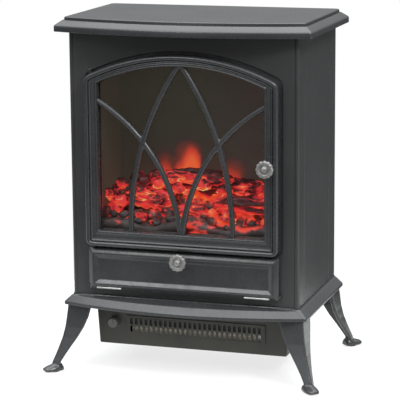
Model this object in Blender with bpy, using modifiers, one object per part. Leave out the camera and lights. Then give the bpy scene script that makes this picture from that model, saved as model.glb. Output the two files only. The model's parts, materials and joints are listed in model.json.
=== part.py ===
"""Free-standing electric stove heater with a glowing log effect.

A bowed top board and a bowed base moulding hold a sheet-metal body on four splayed legs.
The glazed door swings on two pin hinges, the flap under it drops down to show the switches,
and a fan heater with a thermostat dial hangs under the floor.

Axes: +Z up, the front faces -Y, the origin is on the floor under the middle of the stove.
Every length in this file is in millimetres; build_object() turns them into metres.
"""
import math

import bmesh
import bpy
from mathutils import Matrix, Vector

MM = 0.001
GAP = 0.3                      # clearance between touching pieces

# ---- driving dimensions ---------------------------------------------------------------
HEIGHT = 546.0                 # floor to the top board
FOOT_REACH_X = 220.0           # toe tips from the middle, sideways
FOOT_REACH_Y = 152.0           # toe tips from the middle, front and back

BODY_HALF = 179.0              # half the body's width
BODY_FRONT = -108.0
BODY_BACK = 117.0
BODY_LOW = 121.0               # underside of the body, on the base moulding
BODY_TOP = 524.0
SHEET = 1.2                    # sheet-metal thickness as modelled
FRONT_THICK = 2.0

TOP_HALF = 200.0               # top board's fascia
TOP_FRONT = -118.0             # at the corners; the middle is TOP_BOW further forward
TOP_BACK = 119.0
TOP_BOW = 30.0

BASE_HALF = 193.0              # lip of the base moulding
BASE_FRONT = -116.0
BASE_BACK = 120.0
BASE_BOW = 28.0
BASE_LOW = 103.0
BASE_INNER = 165.0             # half-width of the opening in the moulding

PANEL_BACK = BODY_FRONT - GAP  # back face of the door and of the flap
DOOR_THICK = 18.0
DOOR_FRONT = PANEL_BACK - DOOR_THICK
FLAP_THICK = 11.0
FLAP_FRONT = PANEL_BACK - FLAP_THICK
ROLL_SHORT = 0.5               # a rolled edge's radius is this much under half the thickness

DOOR_HALF = 151.0
DOOR_LOW = 200.0
DOOR_SPRING = 458.0            # where the arch starts
DOOR_RISE = 37.0
WINDOW_HALF = 129.5
WINDOW_LOW = 225.0
WINDOW_RADIUS_STEP = 17.0      # the window's arch is this much inside the door's
REBATE = 5.2                   # glass seat behind the window, wider and higher by REBATE
BAR_RADIUS = 4.4
BAR_BACK = -113.4              # the bars stand this close in front of the glass
GLASS_THICK = 3.0

FLAP_HALF = 150.0
FLAP_LOW = 131.0
FLAP_HIGH = 196.0

HEATER_HALF_TOP = 156.0
HEATER_HALF_LOW = 151.0
HEATER_FRONT = -73.0
HEATER_BACK = 63.0
HEATER_LOW = 34.0
HEATER_TOP = 105.7
WALL = 1.5

LINER_HALF = 146.0
LINER_TOP = 506.0
BED_LOW = 212.0

ROTOR_AXIS = (57.0, 236.0)     # y, z of the flame rotor
BLOWER_AXIS = (1.0, 70.0)     # y, z of the blower drum
DIAL_CENTRE = (-125.0, 70.0)   # x, z of the thermostat dial
DOOR_KNOB = (136.0, 335.0)     # x, z
FLAP_KNOB = (-1.0, 185.0)      # x, z
SWITCH_X = (-34.0, 0.0, 34.0)
SWITCH_Z = 164.0
SWITCH_FACE = -83.0

FINISHES = {                   # colour, roughness, metallic
    "black_enamel": ((0.035, 0.036, 0.038), 0.45, 0.3),
    "black_casting": ((0.035, 0.036, 0.038), 0.45, 0.3),
    "pewter": ((0.30, 0.30, 0.29), 0.35, 1.0),
    "heater_black": ((0.045, 0.044, 0.040), 0.5, 0.2),
    "plated_steel": ((0.45, 0.45, 0.44), 0.4, 1.0),
    "element": ((0.55, 0.53, 0.48), 0.45, 1.0),
    "black_plastic": ((0.03, 0.03, 0.03), 0.5, 0.0),
    "grey_plastic": ((0.55, 0.55, 0.53), 0.5, 0.0),
    "smoked_glass": ((0.10, 0.09, 0.07), 0.05, 0.0),
    "bulb_glass": ((0.95, 0.85, 0.65), 0.1, 0.0),
    "ember_resin": ((0.60, 0.10, 0.03), 0.4, 0.0),
    "log_resin": ((0.35, 0.08, 0.03), 0.6, 0.0),
    "flame_panel": ((0.16, 0.12, 0.08), 0.3, 0.0),
    "rubber": ((0.02, 0.02, 0.02), 0.8, 0.0),
}

PLANES = {                     # where an outline's own x, y and thickness directions go
    "xy": Matrix(((1, 0, 0), (0, 1, 0), (0, 0, 1))),
    "xz": Matrix(((1, 0, 0), (0, 0, -1), (0, 1, 0))),
    "yz": Matrix(((0, 0, 1), (1, 0, 0), (0, 1, 0))),
}


# ---- scene and object helpers -----------------------------------------------------------
def clear_scene():
    for old in list(bpy.data.objects):
        bpy.data.objects.remove(old, do_unlink=True)


def new_collection(name):
    made = bpy.data.collections.new(name)
    bpy.context.scene.collection.children.link(made)
    return made


def make_materials():
    made = {}
    for name, (colour, roughness, metallic) in FINISHES.items():
        finish = bpy.data.materials.new(name)
        finish.use_nodes = True
        shader = finish.node_tree.nodes["Principled BSDF"]
        shader.inputs["Base Color"].default_value = (*colour, 1.0)
        shader.inputs["Roughness"].default_value = roughness
        shader.inputs["Metallic"].default_value = metallic
        made[name] = finish
    return made


def build_object(name, shape, slot, pivot=(0.0, 0.0, 0.0), smooth=False):
    """Turn a bmesh in millimetres into an object in metres whose origin is at pivot."""
    bmesh.ops.translate(shape, verts=shape.verts, vec=-Vector(pivot))
    bmesh.ops.scale(shape, verts=shape.verts, vec=(MM, MM, MM))
    bmesh.ops.recalc_face_normals(shape, faces=shape.faces)
    mesh = bpy.data.meshes.new(name)
    shape.to_mesh(mesh)
    shape.free()
    if smooth:
        mesh.shade_smooth()
        mesh.set_sharp_from_angle(angle=math.radians(35))
    made = bpy.data.objects.new(name, mesh)
    made.location = Vector(pivot) * MM
    mesh.materials.append(MATERIALS[slot])
    PARTS.objects.link(made)
    return made


def as_cutter(tool):
    PARTS.objects.unlink(tool)
    CUTTERS.objects.link(tool)
    tool.hide_render = True
    tool.display_type = "WIRE"


def combine(target, tool, operation):
    as_cutter(tool)
    change = target.modifiers.new(operation.lower(), "BOOLEAN")
    change.operation = operation
    change.solver = "EXACT"
    change.object = tool
    return target


def cut(target, tool):
    return combine(target, tool, "DIFFERENCE")


def join(target, tool):
    return combine(target, tool, "UNION")


# ---- shapes, in millimetres -------------------------------------------------------------
def boxes_shape(boxes):
    """One bmesh holding a cuboid for each (low corner, high corner)."""
    shape = bmesh.new()
    for low, high in boxes:
        low, high = Vector(low), Vector(high)
        made = bmesh.ops.create_cube(shape, size=1.0)
        size = Matrix.Diagonal((*(high - low), 1.0))
        bmesh.ops.transform(shape, verts=made["verts"],
                            matrix=Matrix.Translation((low + high) / 2) @ size)
    return shape


def box(name, low, high, slot, pivot=(0, 0, 0)):
    return build_object(name, boxes_shape([(low, high)]), slot, pivot)


def rod_shape(start, end, radius, sides=20, end_radius=None):
    start, end = Vector(start), Vector(end)
    along = end - start
    shape = bmesh.new()
    bmesh.ops.create_cone(shape, cap_ends=True, segments=sides, radius1=radius,
                          radius2=radius if end_radius is None else end_radius,
                          depth=along.length)
    turn = Vector((0, 0, 1)).rotation_difference(along.normalized()).to_matrix().to_4x4()
    bmesh.ops.transform(shape, verts=shape.verts,
                        matrix=Matrix.Translation((start + end) / 2) @ turn)
    return shape


def rod(name, start, end, radius, slot, pivot=(0, 0, 0), sides=20):
    return build_object(name, rod_shape(start, end, radius, sides), slot, pivot, smooth=True)


def turned(name, profile, base, direction, slot, steps=18):
    """A turned piece: profile is (radius, height along direction), from the top downwards."""
    mesh = bpy.data.meshes.new(name)
    points = [(radius * MM, 0.0, height * MM) for radius, height in profile]
    mesh.from_pydata(points, [(i, i + 1) for i in range(len(points) - 1)], [])
    mesh.materials.append(MATERIALS[slot])
    made = bpy.data.objects.new(name, mesh)
    made.location = Vector(base) * MM
    made.rotation_mode = "QUATERNION"
    made.rotation_quaternion = Vector((0, 0, 1)).rotation_difference(Vector(direction))
    screw = made.modifiers.new("turn", "SCREW")
    screw.angle = 2 * math.pi
    screw.steps = steps
    screw.render_steps = steps
    screw.use_merge_vertices = True
    screw.merge_threshold = 0.00001
    screw.use_smooth_shade = False
    PARTS.objects.link(made)
    return made


def flat(name, loops, plane, low, high, slot, pivot=(0, 0, 0), roll=0.0):
    """A flat piece cut to closed outlines (the first is the outside), low..high thick.

    roll rounds every outer edge with that radius.
    """
    curve = bpy.data.curves.new(name, "CURVE")
    curve.dimensions = "2D"
    curve.fill_mode = "BOTH"
    curve.extrude = (high - low) / 2 - roll
    curve.bevel_depth = roll
    curve.bevel_resolution = 2
    curve.offset = -roll
    for loop in loops:
        spline = curve.splines.new("POLY")
        spline.points.add(len(loop) - 1)
        spline.use_cyclic_u = True
        for point, (x, y) in zip(spline.points, loop):
            point.co = (x, y, 0.0, 1.0)
    outline = bpy.data.objects.new(name + "_outline", curve)
    PARTS.objects.link(outline)
    bpy.context.view_layer.update()
    evaluated = outline.evaluated_get(bpy.context.evaluated_depsgraph_get())
    mesh = bpy.data.meshes.new_from_object(evaluated)
    bpy.data.objects.remove(outline, do_unlink=True)
    shape = bmesh.new()
    shape.from_mesh(mesh)
    bpy.data.meshes.remove(mesh)
    bmesh.ops.remove_doubles(shape, verts=shape.verts, dist=0.001)
    bmesh.ops.translate(shape, verts=shape.verts, vec=(0, 0, (low + high) / 2))
    bmesh.ops.transform(shape, verts=shape.verts, matrix=PLANES[plane].to_4x4())
    return build_object(name, shape, slot, pivot)


def loft(rings, closed=False):
    """Skin rings with equal numbers of points; closed joins the last ring to the first."""
    shape = bmesh.new()
    rows = [[shape.verts.new(point) for point in ring] for ring in rings]
    pairs = list(zip(rows, rows[1:]))
    if closed:
        pairs.append((rows[-1], rows[0]))
    else:
        shape.faces.new(rows[0])
        shape.faces.new(rows[-1])
    for lower, upper in pairs:
        for i, corner in enumerate(lower):
            following = (i + 1) % len(lower)
            shape.faces.new((corner, lower[following], upper[following], upper[i]))
    return shape


def rectangle(low_x, low_y, high_x, high_y):
    return [(low_x, low_y), (high_x, low_y), (high_x, high_y), (low_x, high_y)]


def arc(centre, radius, start_deg, end_deg, count):
    points = []
    for i in range(count + 1):
        angle = math.radians(start_deg + (end_deg - start_deg) * i / count)
        points.append((centre[0] + radius * math.cos(angle),
                       centre[1] + radius * math.sin(angle)))
    return points


def arched_outline(half, low, arch_centre, arch_radius, corner=0.0, shoulder=0.0, count=16):
    """Straight-sided outline with an arched top.

    corner rounds the lower corners and shoulder the two where the arch meets the sides.
    """
    if shoulder:
        rise = math.sqrt((arch_radius - shoulder) ** 2 - (half - shoulder) ** 2)
        spread = math.degrees(math.atan2(half - shoulder, rise))
        turn_z = arch_centre + rise
        right = arc((half - shoulder, turn_z), shoulder, 0, 90 - spread, 5)[:-1]
        left = arc((shoulder - half, turn_z), shoulder, 90 + spread, 180, 5)[1:]
    else:
        spread = math.degrees(math.asin(half / arch_radius))
        right, left = [], []
    top = right + arc((0.0, arch_centre), arch_radius, 90 - spread, 90 + spread, count) + left
    if not corner:
        return [(-half, low), (half, low)] + top
    inner = half - corner
    return (arc((-inner, low + corner), corner, 180, 270, 3)
            + arc((inner, low + corner), corner, 270, 360, 3) + top)


def bowed_outline(half, front, back, bow, corner, count=18):
    """Plan of a board: straight sides and back, front bowed forward by bow."""
    points = []
    for i in range(count + 1):
        x = -1 + 2 * i / count
        points.append((x * (half - corner), front - bow * (1 - x * x)))
    turns = (((half - corner, front + corner), -90, 0), ((half - corner, back - corner), 0, 90),
             ((corner - half, back - corner), 90, 180), ((corner - half, front + corner), 180, 270))
    ends = [arc(centre, corner, start, end, 3) for centre, start, end in turns]
    return points + ends[0][1:] + ends[1] + ends[2] + ends[3][:-1]


def raised(outline, z):
    return [(x, y, z) for x, y in outline]


# ---- body -------------------------------------------------------------------------------
def make_top_plate():
    """Pressed board: fascia, convex band, then a groove and the flat top."""
    low = BODY_TOP + GAP
    skin = [(0, low), (0, 533.5), (3, 537), (10.5, 541.5), (12.5, 541.5), (12.5, 544.8),
            (14, HEIGHT)]
    inner = [(20, 543), (16, 541), (8, 536), (3, 532), (3, low)]

    def ring(inset, z):
        return raised(bowed_outline(TOP_HALF - inset, TOP_FRONT + inset, TOP_BACK - inset,
                                    TOP_BOW, 5.0), z)

    outside = [ring(*step) for step in skin]
    inside = [ring(*step) for step in inner]
    shape = loft(list(reversed(outside)) + list(reversed(inside)))
    build_object("top_plate", shape, "black_casting")


def make_base_frame():
    """Moulding under the body: its top slopes out to a lip that bows forward."""
    def outer(share, z):
        """share 0 is the body's outline, share 1 the lip."""
        blend = [(a + (b - a) * share) for a, b in (
            (BODY_HALF + 1, BASE_HALF), (BODY_FRONT - 1, BASE_FRONT),
            (BODY_BACK + 1, BASE_BACK), (0.0, BASE_BOW))]
        return raised(bowed_outline(*blend, 6.0), z)

    def inner(z):
        return raised(bowed_outline(BASE_INNER, BODY_FRONT + 14, BODY_BACK - 14, 0.0, 6.0), z)

    top = BODY_LOW - GAP
    rings = [inner(top), outer(0, top), outer(0.1, top - 2.5), outer(0.5, 114.5),
             outer(0.85, 110.5), outer(1, 108.5), outer(1, 104.5), outer(0.96, BASE_LOW),
             inner(BASE_LOW)]
    build_object("base_frame", loft(rings, closed=True), "black_casting")


def make_body():
    door_hole = arched_outline(DOOR_HALF - 10.5, DOOR_LOW + 13, ARCH_CENTRE, ARCH_RADIUS - 12)
    flap_hole = rectangle(-140, 143, 140, 188)
    front = [rectangle(-BODY_HALF, BODY_LOW, BODY_HALF, BODY_TOP), door_hole, flap_hole]
    flat("front_frame", front, "xz", -BODY_FRONT - FRONT_THICK, -BODY_FRONT, "black_enamel")

    front_end = BODY_FRONT + FRONT_THICK + GAP
    back_end = BODY_BACK - SHEET - GAP
    for side, name in ((-1, "side_panel_left"), (1, "side_panel_right")):
        edge, inner, lip = side * BODY_HALF, side * (BODY_HALF - SHEET), side * (BODY_HALF - 14)
        channel = [(lip, front_end), (edge, front_end), (edge, back_end), (lip, back_end),
                   (lip, back_end - SHEET), (inner, back_end - SHEET),
                   (inner, front_end + SHEET), (lip, front_end + SHEET)]
        flat(name, [channel], "xy", BODY_LOW, BODY_TOP, "black_enamel")

    cover = [rectangle(-BODY_HALF, BODY_LOW, BODY_HALF, BODY_TOP)]
    back = flat("back_cover", cover, "xz", -BODY_BACK, SHEET - BODY_BACK, "black_enamel")
    vents = [((x - 35, BODY_BACK - 10, z), (x + 35, BODY_BACK + 10, z + 4))
             for x in (-60, 60) for z in range(150, 200, 10)]
    vents += [((x - 35, BODY_BACK - 10, z), (x + 35, BODY_BACK + 10, z + 4))
              for x in (-60, 60) for z in range(450, 490, 10)]
    cut(back, build_object("back_vents", boxes_shape(vents), "black_enamel"))
    cut(back, rod("gland_hole", (140, BODY_BACK - 10, 150), (140, BODY_BACK + 10, 150),
                  8 + GAP, "black_enamel"))

    flat("floor_pan", [bowed_outline(BASE_INNER - 1, -93, 102, 0.0, 6.0),
                       rectangle(-50, 67, 50, 93)], "xy", 106, 106 + SHEET, "plated_steel")


def make_legs():
    """Angle-section legs that sweep out along the corner's diagonal to a rolled toe."""
    # height, share of the outward sweep, front wing, side wing
    stations = [(BASE_LOW - GAP, 0, 38, 48), (84, 0.06, 35, 44), (68, 0.12, 30, 38),
                (52, 0.22, 24, 30), (38, 0.35, 19, 23), (26, 0.47, 15.5, 18),
                (16, 0.58, 13.5, 15), (9, 0.63, 12.5, 14)]
    thick = 7.0
    start_x = BASE_HALF - 6
    for end, start_y, end_name in ((-1, -BASE_FRONT - 2, "front"), (1, BASE_BACK - 2, "back")):
        for side, side_name in ((-1, "left"), (1, "right")):
            corner = Vector((side * start_x, end * start_y))
            sweep = Vector((side * (FOOT_REACH_X - start_x), end * (FOOT_REACH_Y - start_y)))
            rings = []
            for z, share, front_wing, side_wing in stations:
                section = [(0, 0), (front_wing, 0), (front_wing, thick), (thick, thick),
                           (thick, side_wing), (0, side_wing)]
                ridge = corner + share * sweep
                rings.append([(ridge.x - side * u, ridge.y - end * v, z) for u, v in section])
            name = f"{end_name}_{side_name}"
            leg = build_object(f"leg_{name}", loft(rings), "black_casting")
            join(leg, make_toe(name, side, end, corner, sweep))
            pad = corner + 0.5 * sweep
            rod(f"foot_pad_{name}", (*pad, 0), (*pad, 3), 8, "rubber", pivot=(*pad, 0))


def make_toe(name, side, end, corner, sweep):
    """Rounded foot along the corner's diagonal, swelling in the middle."""
    rings = []
    # share of the reach at the outer side, half-width, height, rise of the sole
    for share, half, height, rise in ((0.25, 5, 5, 3), (0.40, 9, 9, 1), (0.65, 11.5, 12.5, 0),
                                      (0.88, 11, 11, 0.5), (0.98, 8, 8.5, 2), (1.0, 4.5, 5, 3.5)):
        outer = corner + share * sweep
        ring = []
        for u, v in arc((0, 0), 1.0, 0, 360, 12)[:-1]:
            across = half * math.sqrt(0.5)
            x = outer.x - side * across * (1 - u)
            y = outer.y - end * across * (1 + u)
            ring.append((x, y, 3 + GAP + rise + (v + 1) / 2 * height))
        rings.append(ring)
    return build_object(f"toe_{name}", loft(rings), "black_enamel")


# ---- door -------------------------------------------------------------------------------
def make_door():
    pivot = DOOR_PIVOT
    outline = arched_outline(DOOR_HALF, DOOR_LOW, ARCH_CENTRE, ARCH_RADIUS, 10, 14)
    window = arched_outline(WINDOW_HALF, WINDOW_LOW, ARCH_CENTRE,
                            ARCH_RADIUS - WINDOW_RADIUS_STEP)
    seat = arched_outline(WINDOW_HALF + REBATE, WINDOW_LOW - REBATE, ARCH_CENTRE,
                          ARCH_RADIUS - WINDOW_RADIUS_STEP + REBATE)
    frame = flat("door_frame", [outline], "xz", -PANEL_BACK, -DOOR_FRONT, "black_casting",
                 pivot=pivot, roll=DOOR_THICK / 2 - ROLL_SHORT)
    for low, high in ((DOOR_LOW - 5, 223), (439, 475)):
        cut(frame, rod(f"pin_hole_{low:.0f}", (pivot[0], pivot[1], low),
                       (pivot[0], pivot[1], high), 2.3, "black_enamel", sides=16))
    cut(frame, flat("window_cut", [window], "xz", -PANEL_BACK - 5, -DOOR_FRONT + 5,
                    "black_enamel"))
    cut(frame, flat("rebate_cut", [seat], "xz", -PANEL_BACK - 5, -PANEL_BACK + REBATE,
                    "black_enamel"))

    pane = arched_outline(WINDOW_HALF + REBATE - GAP, WINDOW_LOW - REBATE + GAP, ARCH_CENTRE,
                          ARCH_RADIUS - WINDOW_RADIUS_STEP + REBATE - GAP)
    pane_front = PANEL_BACK - REBATE + GAP
    flat("door_glass", [pane], "xz", -pane_front - GLASS_THICK, -pane_front, "smoked_glass",
         pivot=pivot)
    retainer_front = pane_front + GLASS_THICK + GAP
    inner = arched_outline(WINDOW_HALF - 1, WINDOW_LOW + 1, ARCH_CENTRE,
                           ARCH_RADIUS - WINDOW_RADIUS_STEP - 1)
    flat("glass_retainer", [pane, inner], "xz", -retainer_front - 1.4, -retainer_front,
         "plated_steel", pivot=pivot)
    make_lattice(pivot)
    turned("door_knob", knob_profile(6, 0), (DOOR_KNOB[0], DOOR_FRONT - GAP, DOOR_KNOB[1]),
           (0, -1, 0), "pewter")


def make_lattice(pivot):
    """Four round bars: two sweep down from the sides, two fan out from the arch's peak."""
    y = BAR_BACK - BAR_RADIUS
    outer = ((WINDOW_HALF + 6, 426), (41, 338), (1.5, WINDOW_LOW - 6))
    fan = ((0, 484), (50, 389), (79.5, WINDOW_LOW - 6))
    bars = []
    for side in (-1, 1):
        for count, points in enumerate((outer, fan)):
            path = arc_through([(side * x, z) for x, z in points], 14)
            ring_path = [Vector((x, y, z)) for x, z in path]
            shape = tube_shape(ring_path, BAR_RADIUS, Vector((0, 1, 0)), 10)
            bars.append(build_object(f"bar_{side}_{count}", shape, "black_casting", pivot))
    lattice = bars[0]
    lattice.name = "door_lattice"
    for other in bars[1:]:
        join(lattice, other)
    edge = arched_outline(WINDOW_HALF - GAP, WINDOW_LOW + GAP, ARCH_CENTRE,
                          ARCH_RADIUS - WINDOW_RADIUS_STEP - GAP)
    combine(lattice, flat("lattice_trim", [edge], "xz", -PANEL_BACK - 5, -DOOR_FRONT + 5,
                          "black_enamel"), "INTERSECT")


def arc_through(points, count):
    """Evenly spaced points on the circle through three points."""
    (ax, ay), (bx, by), (cx, cy) = points
    d = 2 * (ax * (by - cy) + bx * (cy - ay) + cx * (ay - by))
    squares = [px * px + py * py for px, py in points]
    ux = (squares[0] * (by - cy) + squares[1] * (cy - ay) + squares[2] * (ay - by)) / d
    uy = (squares[0] * (cx - bx) + squares[1] * (ax - cx) + squares[2] * (bx - ax)) / d
    radius = math.hypot(ax - ux, ay - uy)
    angles = [math.degrees(math.atan2(py - uy, px - ux)) for px, py in (points[0], points[2])]
    if angles[1] - angles[0] > 180:
        angles[0] += 360
    if angles[0] - angles[1] > 180:
        angles[1] += 360
    return arc((ux, uy), radius, angles[0], angles[1], count)


def tube_shape(path, radius, side, sides):
    """Round bar along a plane path; side is the plane's normal."""
    rings = []
    for i, point in enumerate(path):
        ahead = path[min(i + 1, len(path) - 1)] - path[max(i - 1, 0)]
        across = ahead.normalized().cross(side)
        rings.append([point + radius * (u * side + v * across)
                      for u, v in arc((0, 0), 1.0, 0, 360, sides)[:-1]])
    return loft(rings)


def knob_profile(stem_radius, stem_end):
    """Rosette with a centre boss on a stem that ends at height stem_end."""
    return [(0, 22), (3, 21.5), (4.5, 19.5), (6, 18), (9.5, 19.5), (12.5, 18), (13.8, 15),
            (12.5, 12), (7, 9.5), (stem_radius, 6), (stem_radius, stem_end), (0, stem_end)]


def make_hinges():
    """Small brackets on the front, each with its pin, for the door and for the flap."""
    x, y = DOOR_PIVOT[:2]
    for name, low, pin_to in (("door_hinge_top", 468.5, 440.0), ("door_hinge_bottom", 197.0, 222.0)):
        bracket = box(name, (x - 5, y - 4.5, low), (x + 5, BODY_FRONT - GAP, low + 2),
                      "black_enamel", pivot=(x, y, low))
        join(bracket, rod(name + "_pin", (x, y, low + 1), (x, y, pin_to), 2, "black_enamel",
                          sides=16))
    y, z = FLAP_PIVOT[1:]
    for side, name in ((-1, "flap_hinge_left"), (1, "flap_hinge_right")):
        near, far = side * (FLAP_HALF + 0.5), side * (FLAP_HALF + 2.5)
        bracket = box(name, (min(near, far), y - 4.5, z - 4.5),
                      (max(near, far), BODY_FRONT - GAP, z + 4.5), "black_enamel",
                      pivot=(near, y, z))
        join(bracket, rod(name + "_pin", (side * (FLAP_HALF + 1.5), y, z),
                          (side * (FLAP_HALF - 9), y, z), 2, "black_enamel", sides=16))
    magnet_right = DOOR_HALF - 10.5 - GAP
    box("catch_magnet", (magnet_right - 4, BODY_FRONT, 324), (magnet_right, BODY_FRONT + 10, 346),
        "plated_steel")


# ---- flap and switches ------------------------------------------------------------------
def make_flap():
    pivot = FLAP_PIVOT
    panel = flat("ash_flap", [rectangle(-FLAP_HALF, FLAP_LOW, FLAP_HALF, FLAP_HIGH)], "xz",
                 -PANEL_BACK, -FLAP_FRONT, "black_casting", pivot=pivot,
                 roll=FLAP_THICK / 2 - ROLL_SHORT)
    cut(panel, box("flap_recess", (-134, FLAP_FRONT - 5, 150), (134, FLAP_FRONT + 4, 186),
                   "black_enamel"))
    for side in (-1, 1):
        cut(panel, rod(f"flap_hole_{side}", (side * (FLAP_HALF + 5), *pivot[1:]),
                       (side * (FLAP_HALF - 10), *pivot[1:]), 2.3, "black_enamel", sides=16))
    # the knob straddles the recess's upper edge, so its stem passes in front of the rim
    turned("flap_knob", knob_profile(4.5, 0), (FLAP_KNOB[0], FLAP_FRONT - GAP, FLAP_KNOB[1]),
           (0, -1, 0), "pewter")


def make_switches():
    """Panel behind the flap with three rocker switches in one housing."""
    face = SWITCH_FACE
    profile = [(face, 110), (face + 18, 110), (face + 18, 110 + WALL), (face + WALL, 110 + WALL),
               (face + WALL, 196), (face, 196)]
    panel = flat("switch_panel", [profile], "yz", -138, 138, "heater_black")
    holes = [((x - 8, face - 5, SWITCH_Z - 13), (x + 8, face + 5, SWITCH_Z + 13)) for x in SWITCH_X]
    cut(panel, build_object("switch_holes", boxes_shape(holes), "heater_black"))

    housing = box("switch_housing", (-48, face + WALL + GAP, SWITCH_Z - 18),
                  (48, face + 22, SWITCH_Z + 18), "black_plastic")
    wells = [((x - 7.5, face - 5, SWITCH_Z - 12.5), (x + 7.5, face + 14, SWITCH_Z + 12.5))
             for x in SWITCH_X]
    cut(housing, build_object("switch_wells", boxes_shape(wells), "black_plastic"))

    tilt = math.radians(ROCKER_TILT)
    for x, name in zip(SWITCH_X, ("rocker_flame", "rocker_low_heat", "rocker_high_heat")):
        # a shallow V front and a round back, leaning with its lower half pressed in
        front = [(-5.0, 0.0), (-6.4, 10.5), (-1.0, 10.0), (3.5, 4.0), (3.5, -4.0), (-1.0, -10.0),
                 (-6.4, -10.5)]
        leaned = [(u * math.cos(tilt) - v * math.sin(tilt), u * math.sin(tilt) + v * math.cos(tilt))
                  for u, v in front]
        pivot = (x, face + 4, SWITCH_Z)
        loop = [(pivot[1] + u, pivot[2] + v) for u, v in leaned]
        flat(name, [loop], "yz", x - 7, x + 7, "black_plastic", pivot=pivot)


# ---- fire effect ------------------------------------------------------------------------
def bed_height(x, y):
    """Rolling ember bed, higher towards the back and along the middle."""
    swell = 7 * math.sin(x / 19.0 + 1.3) * math.cos((y - 5) / 15.0)
    return BED_LOW + 14 + (y + 95) * 0.22 + swell + 5 * math.cos(x / 60.0)


def make_fire():
    half, front, back = LINER_HALF, BODY_FRONT + FRONT_THICK + GAP, 29.0
    ring = [(-half, BED_LOW - 6), (-half, LINER_TOP), (half, LINER_TOP), (half, BED_LOW - 6),
            (half - WALL, BED_LOW - 6), (half - WALL, LINER_TOP - WALL),
            (WALL - half, LINER_TOP - WALL), (WALL - half, BED_LOW - 6)]
    flat("firebox_liner", [ring], "xz", -back, -front, "heater_black")

    columns, rows = 22, 9
    left, right, near, far = -142.0, 142.0, -99.0, 17.0
    shape = bmesh.new()
    grid = []
    for j in range(rows + 1):
        y = near + (far - near) * j / rows
        grid.append([])
        for i in range(columns + 1):
            x = left + (right - left) * i / columns
            grid[-1].append(shape.verts.new((x, y, bed_height(x, y))))
    for lower, upper in zip(grid, grid[1:]):
        for i in range(columns):
            shape.faces.new((lower[i], lower[i + 1], upper[i + 1], upper[i]))
    bed = build_object("ember_bed", shape, "ember_resin")
    thick = bed.modifiers.new("shell", "SOLIDIFY")
    thick.thickness = 2.5 * MM
    thick.offset = -1.0

    # name, start, end, radius, bend
    logs = (("log_back", (-118, -3, 273), (112, -7, 271), 15.5, 5),
            ("log_left", (-128, -57, 258), (-34, -45, 265), 13.0, 4),
            ("log_right", (28, -51, 265), (126, -63, 258), 13.5, 4),
            ("log_middle", (-26, -73, 255), (30, -81, 253), 10.0, 2),
            ("log_upper", (-66, -35, 294), (58, -29, 296), 11.0, 4))
    for name, start, end, radius, bend in logs:
        start, end = Vector(start), Vector(end)
        path = [start.lerp(end, i / 8) + Vector((0, 0, bend * math.sin(math.pi * i / 8)))
                for i in range(9)]
        rings = []
        for i, point in enumerate(path):
            swell = radius * (1 + 0.08 * math.sin(i * 2.1)) * (0.8 if i in (0, 8) else 1)
            along = (path[min(i + 1, 8)] - path[max(i - 1, 0)]).normalized()
            across = along.cross(Vector((0, 0, 1))).normalized()
            up = across.cross(along)
            rings.append([point + swell * (u * across + v * up)
                          for u, v in arc((0, 0), 1.0, 0, 360, 12)[:-1]])
        build_object(name, loft(rings), "log_resin")

    box("flame_screen", (-143, 19, BED_LOW), (143, 22, LINER_TOP - WALL - 1), "flame_panel")
    make_flame_rotor()


def make_flame_rotor():
    """Spindle with bright tabs that throws moving light on the screen."""
    y, z = ROTOR_AXIS
    pivot = (0, y, z)
    rotor = rod("flame_rotor", (-136, y, z), (136, y, z), 3, "plated_steel", pivot, sides=12)
    tabs = bmesh.new()
    for i in range(11):
        turn = Matrix.Translation((0, y, z)) @ Matrix.Rotation(math.radians(47 * i), 4, "X")
        made = bmesh.ops.create_cube(tabs, size=1.0)
        size = Matrix.Diagonal((15, 36, 1.2, 1))
        bmesh.ops.transform(tabs, verts=made["verts"],
                            matrix=turn @ Matrix.Translation((-115 + 23 * i, 0, 0)) @ size)
    join(rotor, build_object("rotor_tabs", tabs, "plated_steel", pivot))

    # a folded sheet behind the spindle; its two ends carry the bearing and the motor
    sheet = arc((y, z), 40, -60, 60, 10) + list(reversed(arc((y, z), 41.2, -60, 60, 10)))
    frame = flat("rotor_frame", [sheet], "yz", -131, 131, "plated_steel")
    for side, name in ((-1, "left"), (1, "right")):
        join(frame, box(f"upright_{name}", (side * 131 - 1, y - 16, LAMP_TRAY + WALL + GAP),
                        (side * 131 + 1, y + 40.6, z + 18), "plated_steel"))
        cut(frame, rod(f"bearing_hole_{name}", (side * 131 - 9, y, z), (side * 131 + 9, y, z),
                       3.2, "plated_steel", sides=16))
    motor = rod("rotor_motor", (132 + GAP, y, z), (157, y, z), 16, "plated_steel",
                pivot=(133, y, z), sides=24)
    cut(motor, rod("motor_bore", (130, y, z), (140, y, z), 3.3, "plated_steel", sides=16))


def make_lamps():
    tray = [(-41, 108.2), (-41, LAMP_TRAY + WALL), (91, LAMP_TRAY + WALL), (91, 108.2),
            (91 - WALL, 108.2), (91 - WALL, LAMP_TRAY), (WALL - 41, LAMP_TRAY),
            (WALL - 41, 108.2)]
    flat("lamp_tray", [tray], "yz", -150, 150, "plated_steel")
    base = LAMP_TRAY + WALL + GAP
    for x, name in ((-62, "left"), (62, "right")):
        turned(f"lamp_holder_{name}", [(0, 3), (9, 3), (9, 22), (12, 22), (12, 4), (15, 3),
                                       (15, 0), (0, 0)], (x, 13, base), (0, 0, 1), "black_plastic",
               steps=14)
        turned(f"lamp_{name}", [(0, 62), (3, 60), (8, 52), (12, 42), (13, 34), (11, 27),
                                (8.4, 22.6), (8.4, 5), (5, 3.4), (0, 3.4)], (x, 13, base),
               (0, 0, 1), "bulb_glass", steps=14)


# ---- fan heater -------------------------------------------------------------------------
def heater_section(inset, z, half):
    return raised(rectangle(-half + inset, HEATER_FRONT + inset, half - inset,
                            HEATER_BACK - inset), z)


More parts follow.
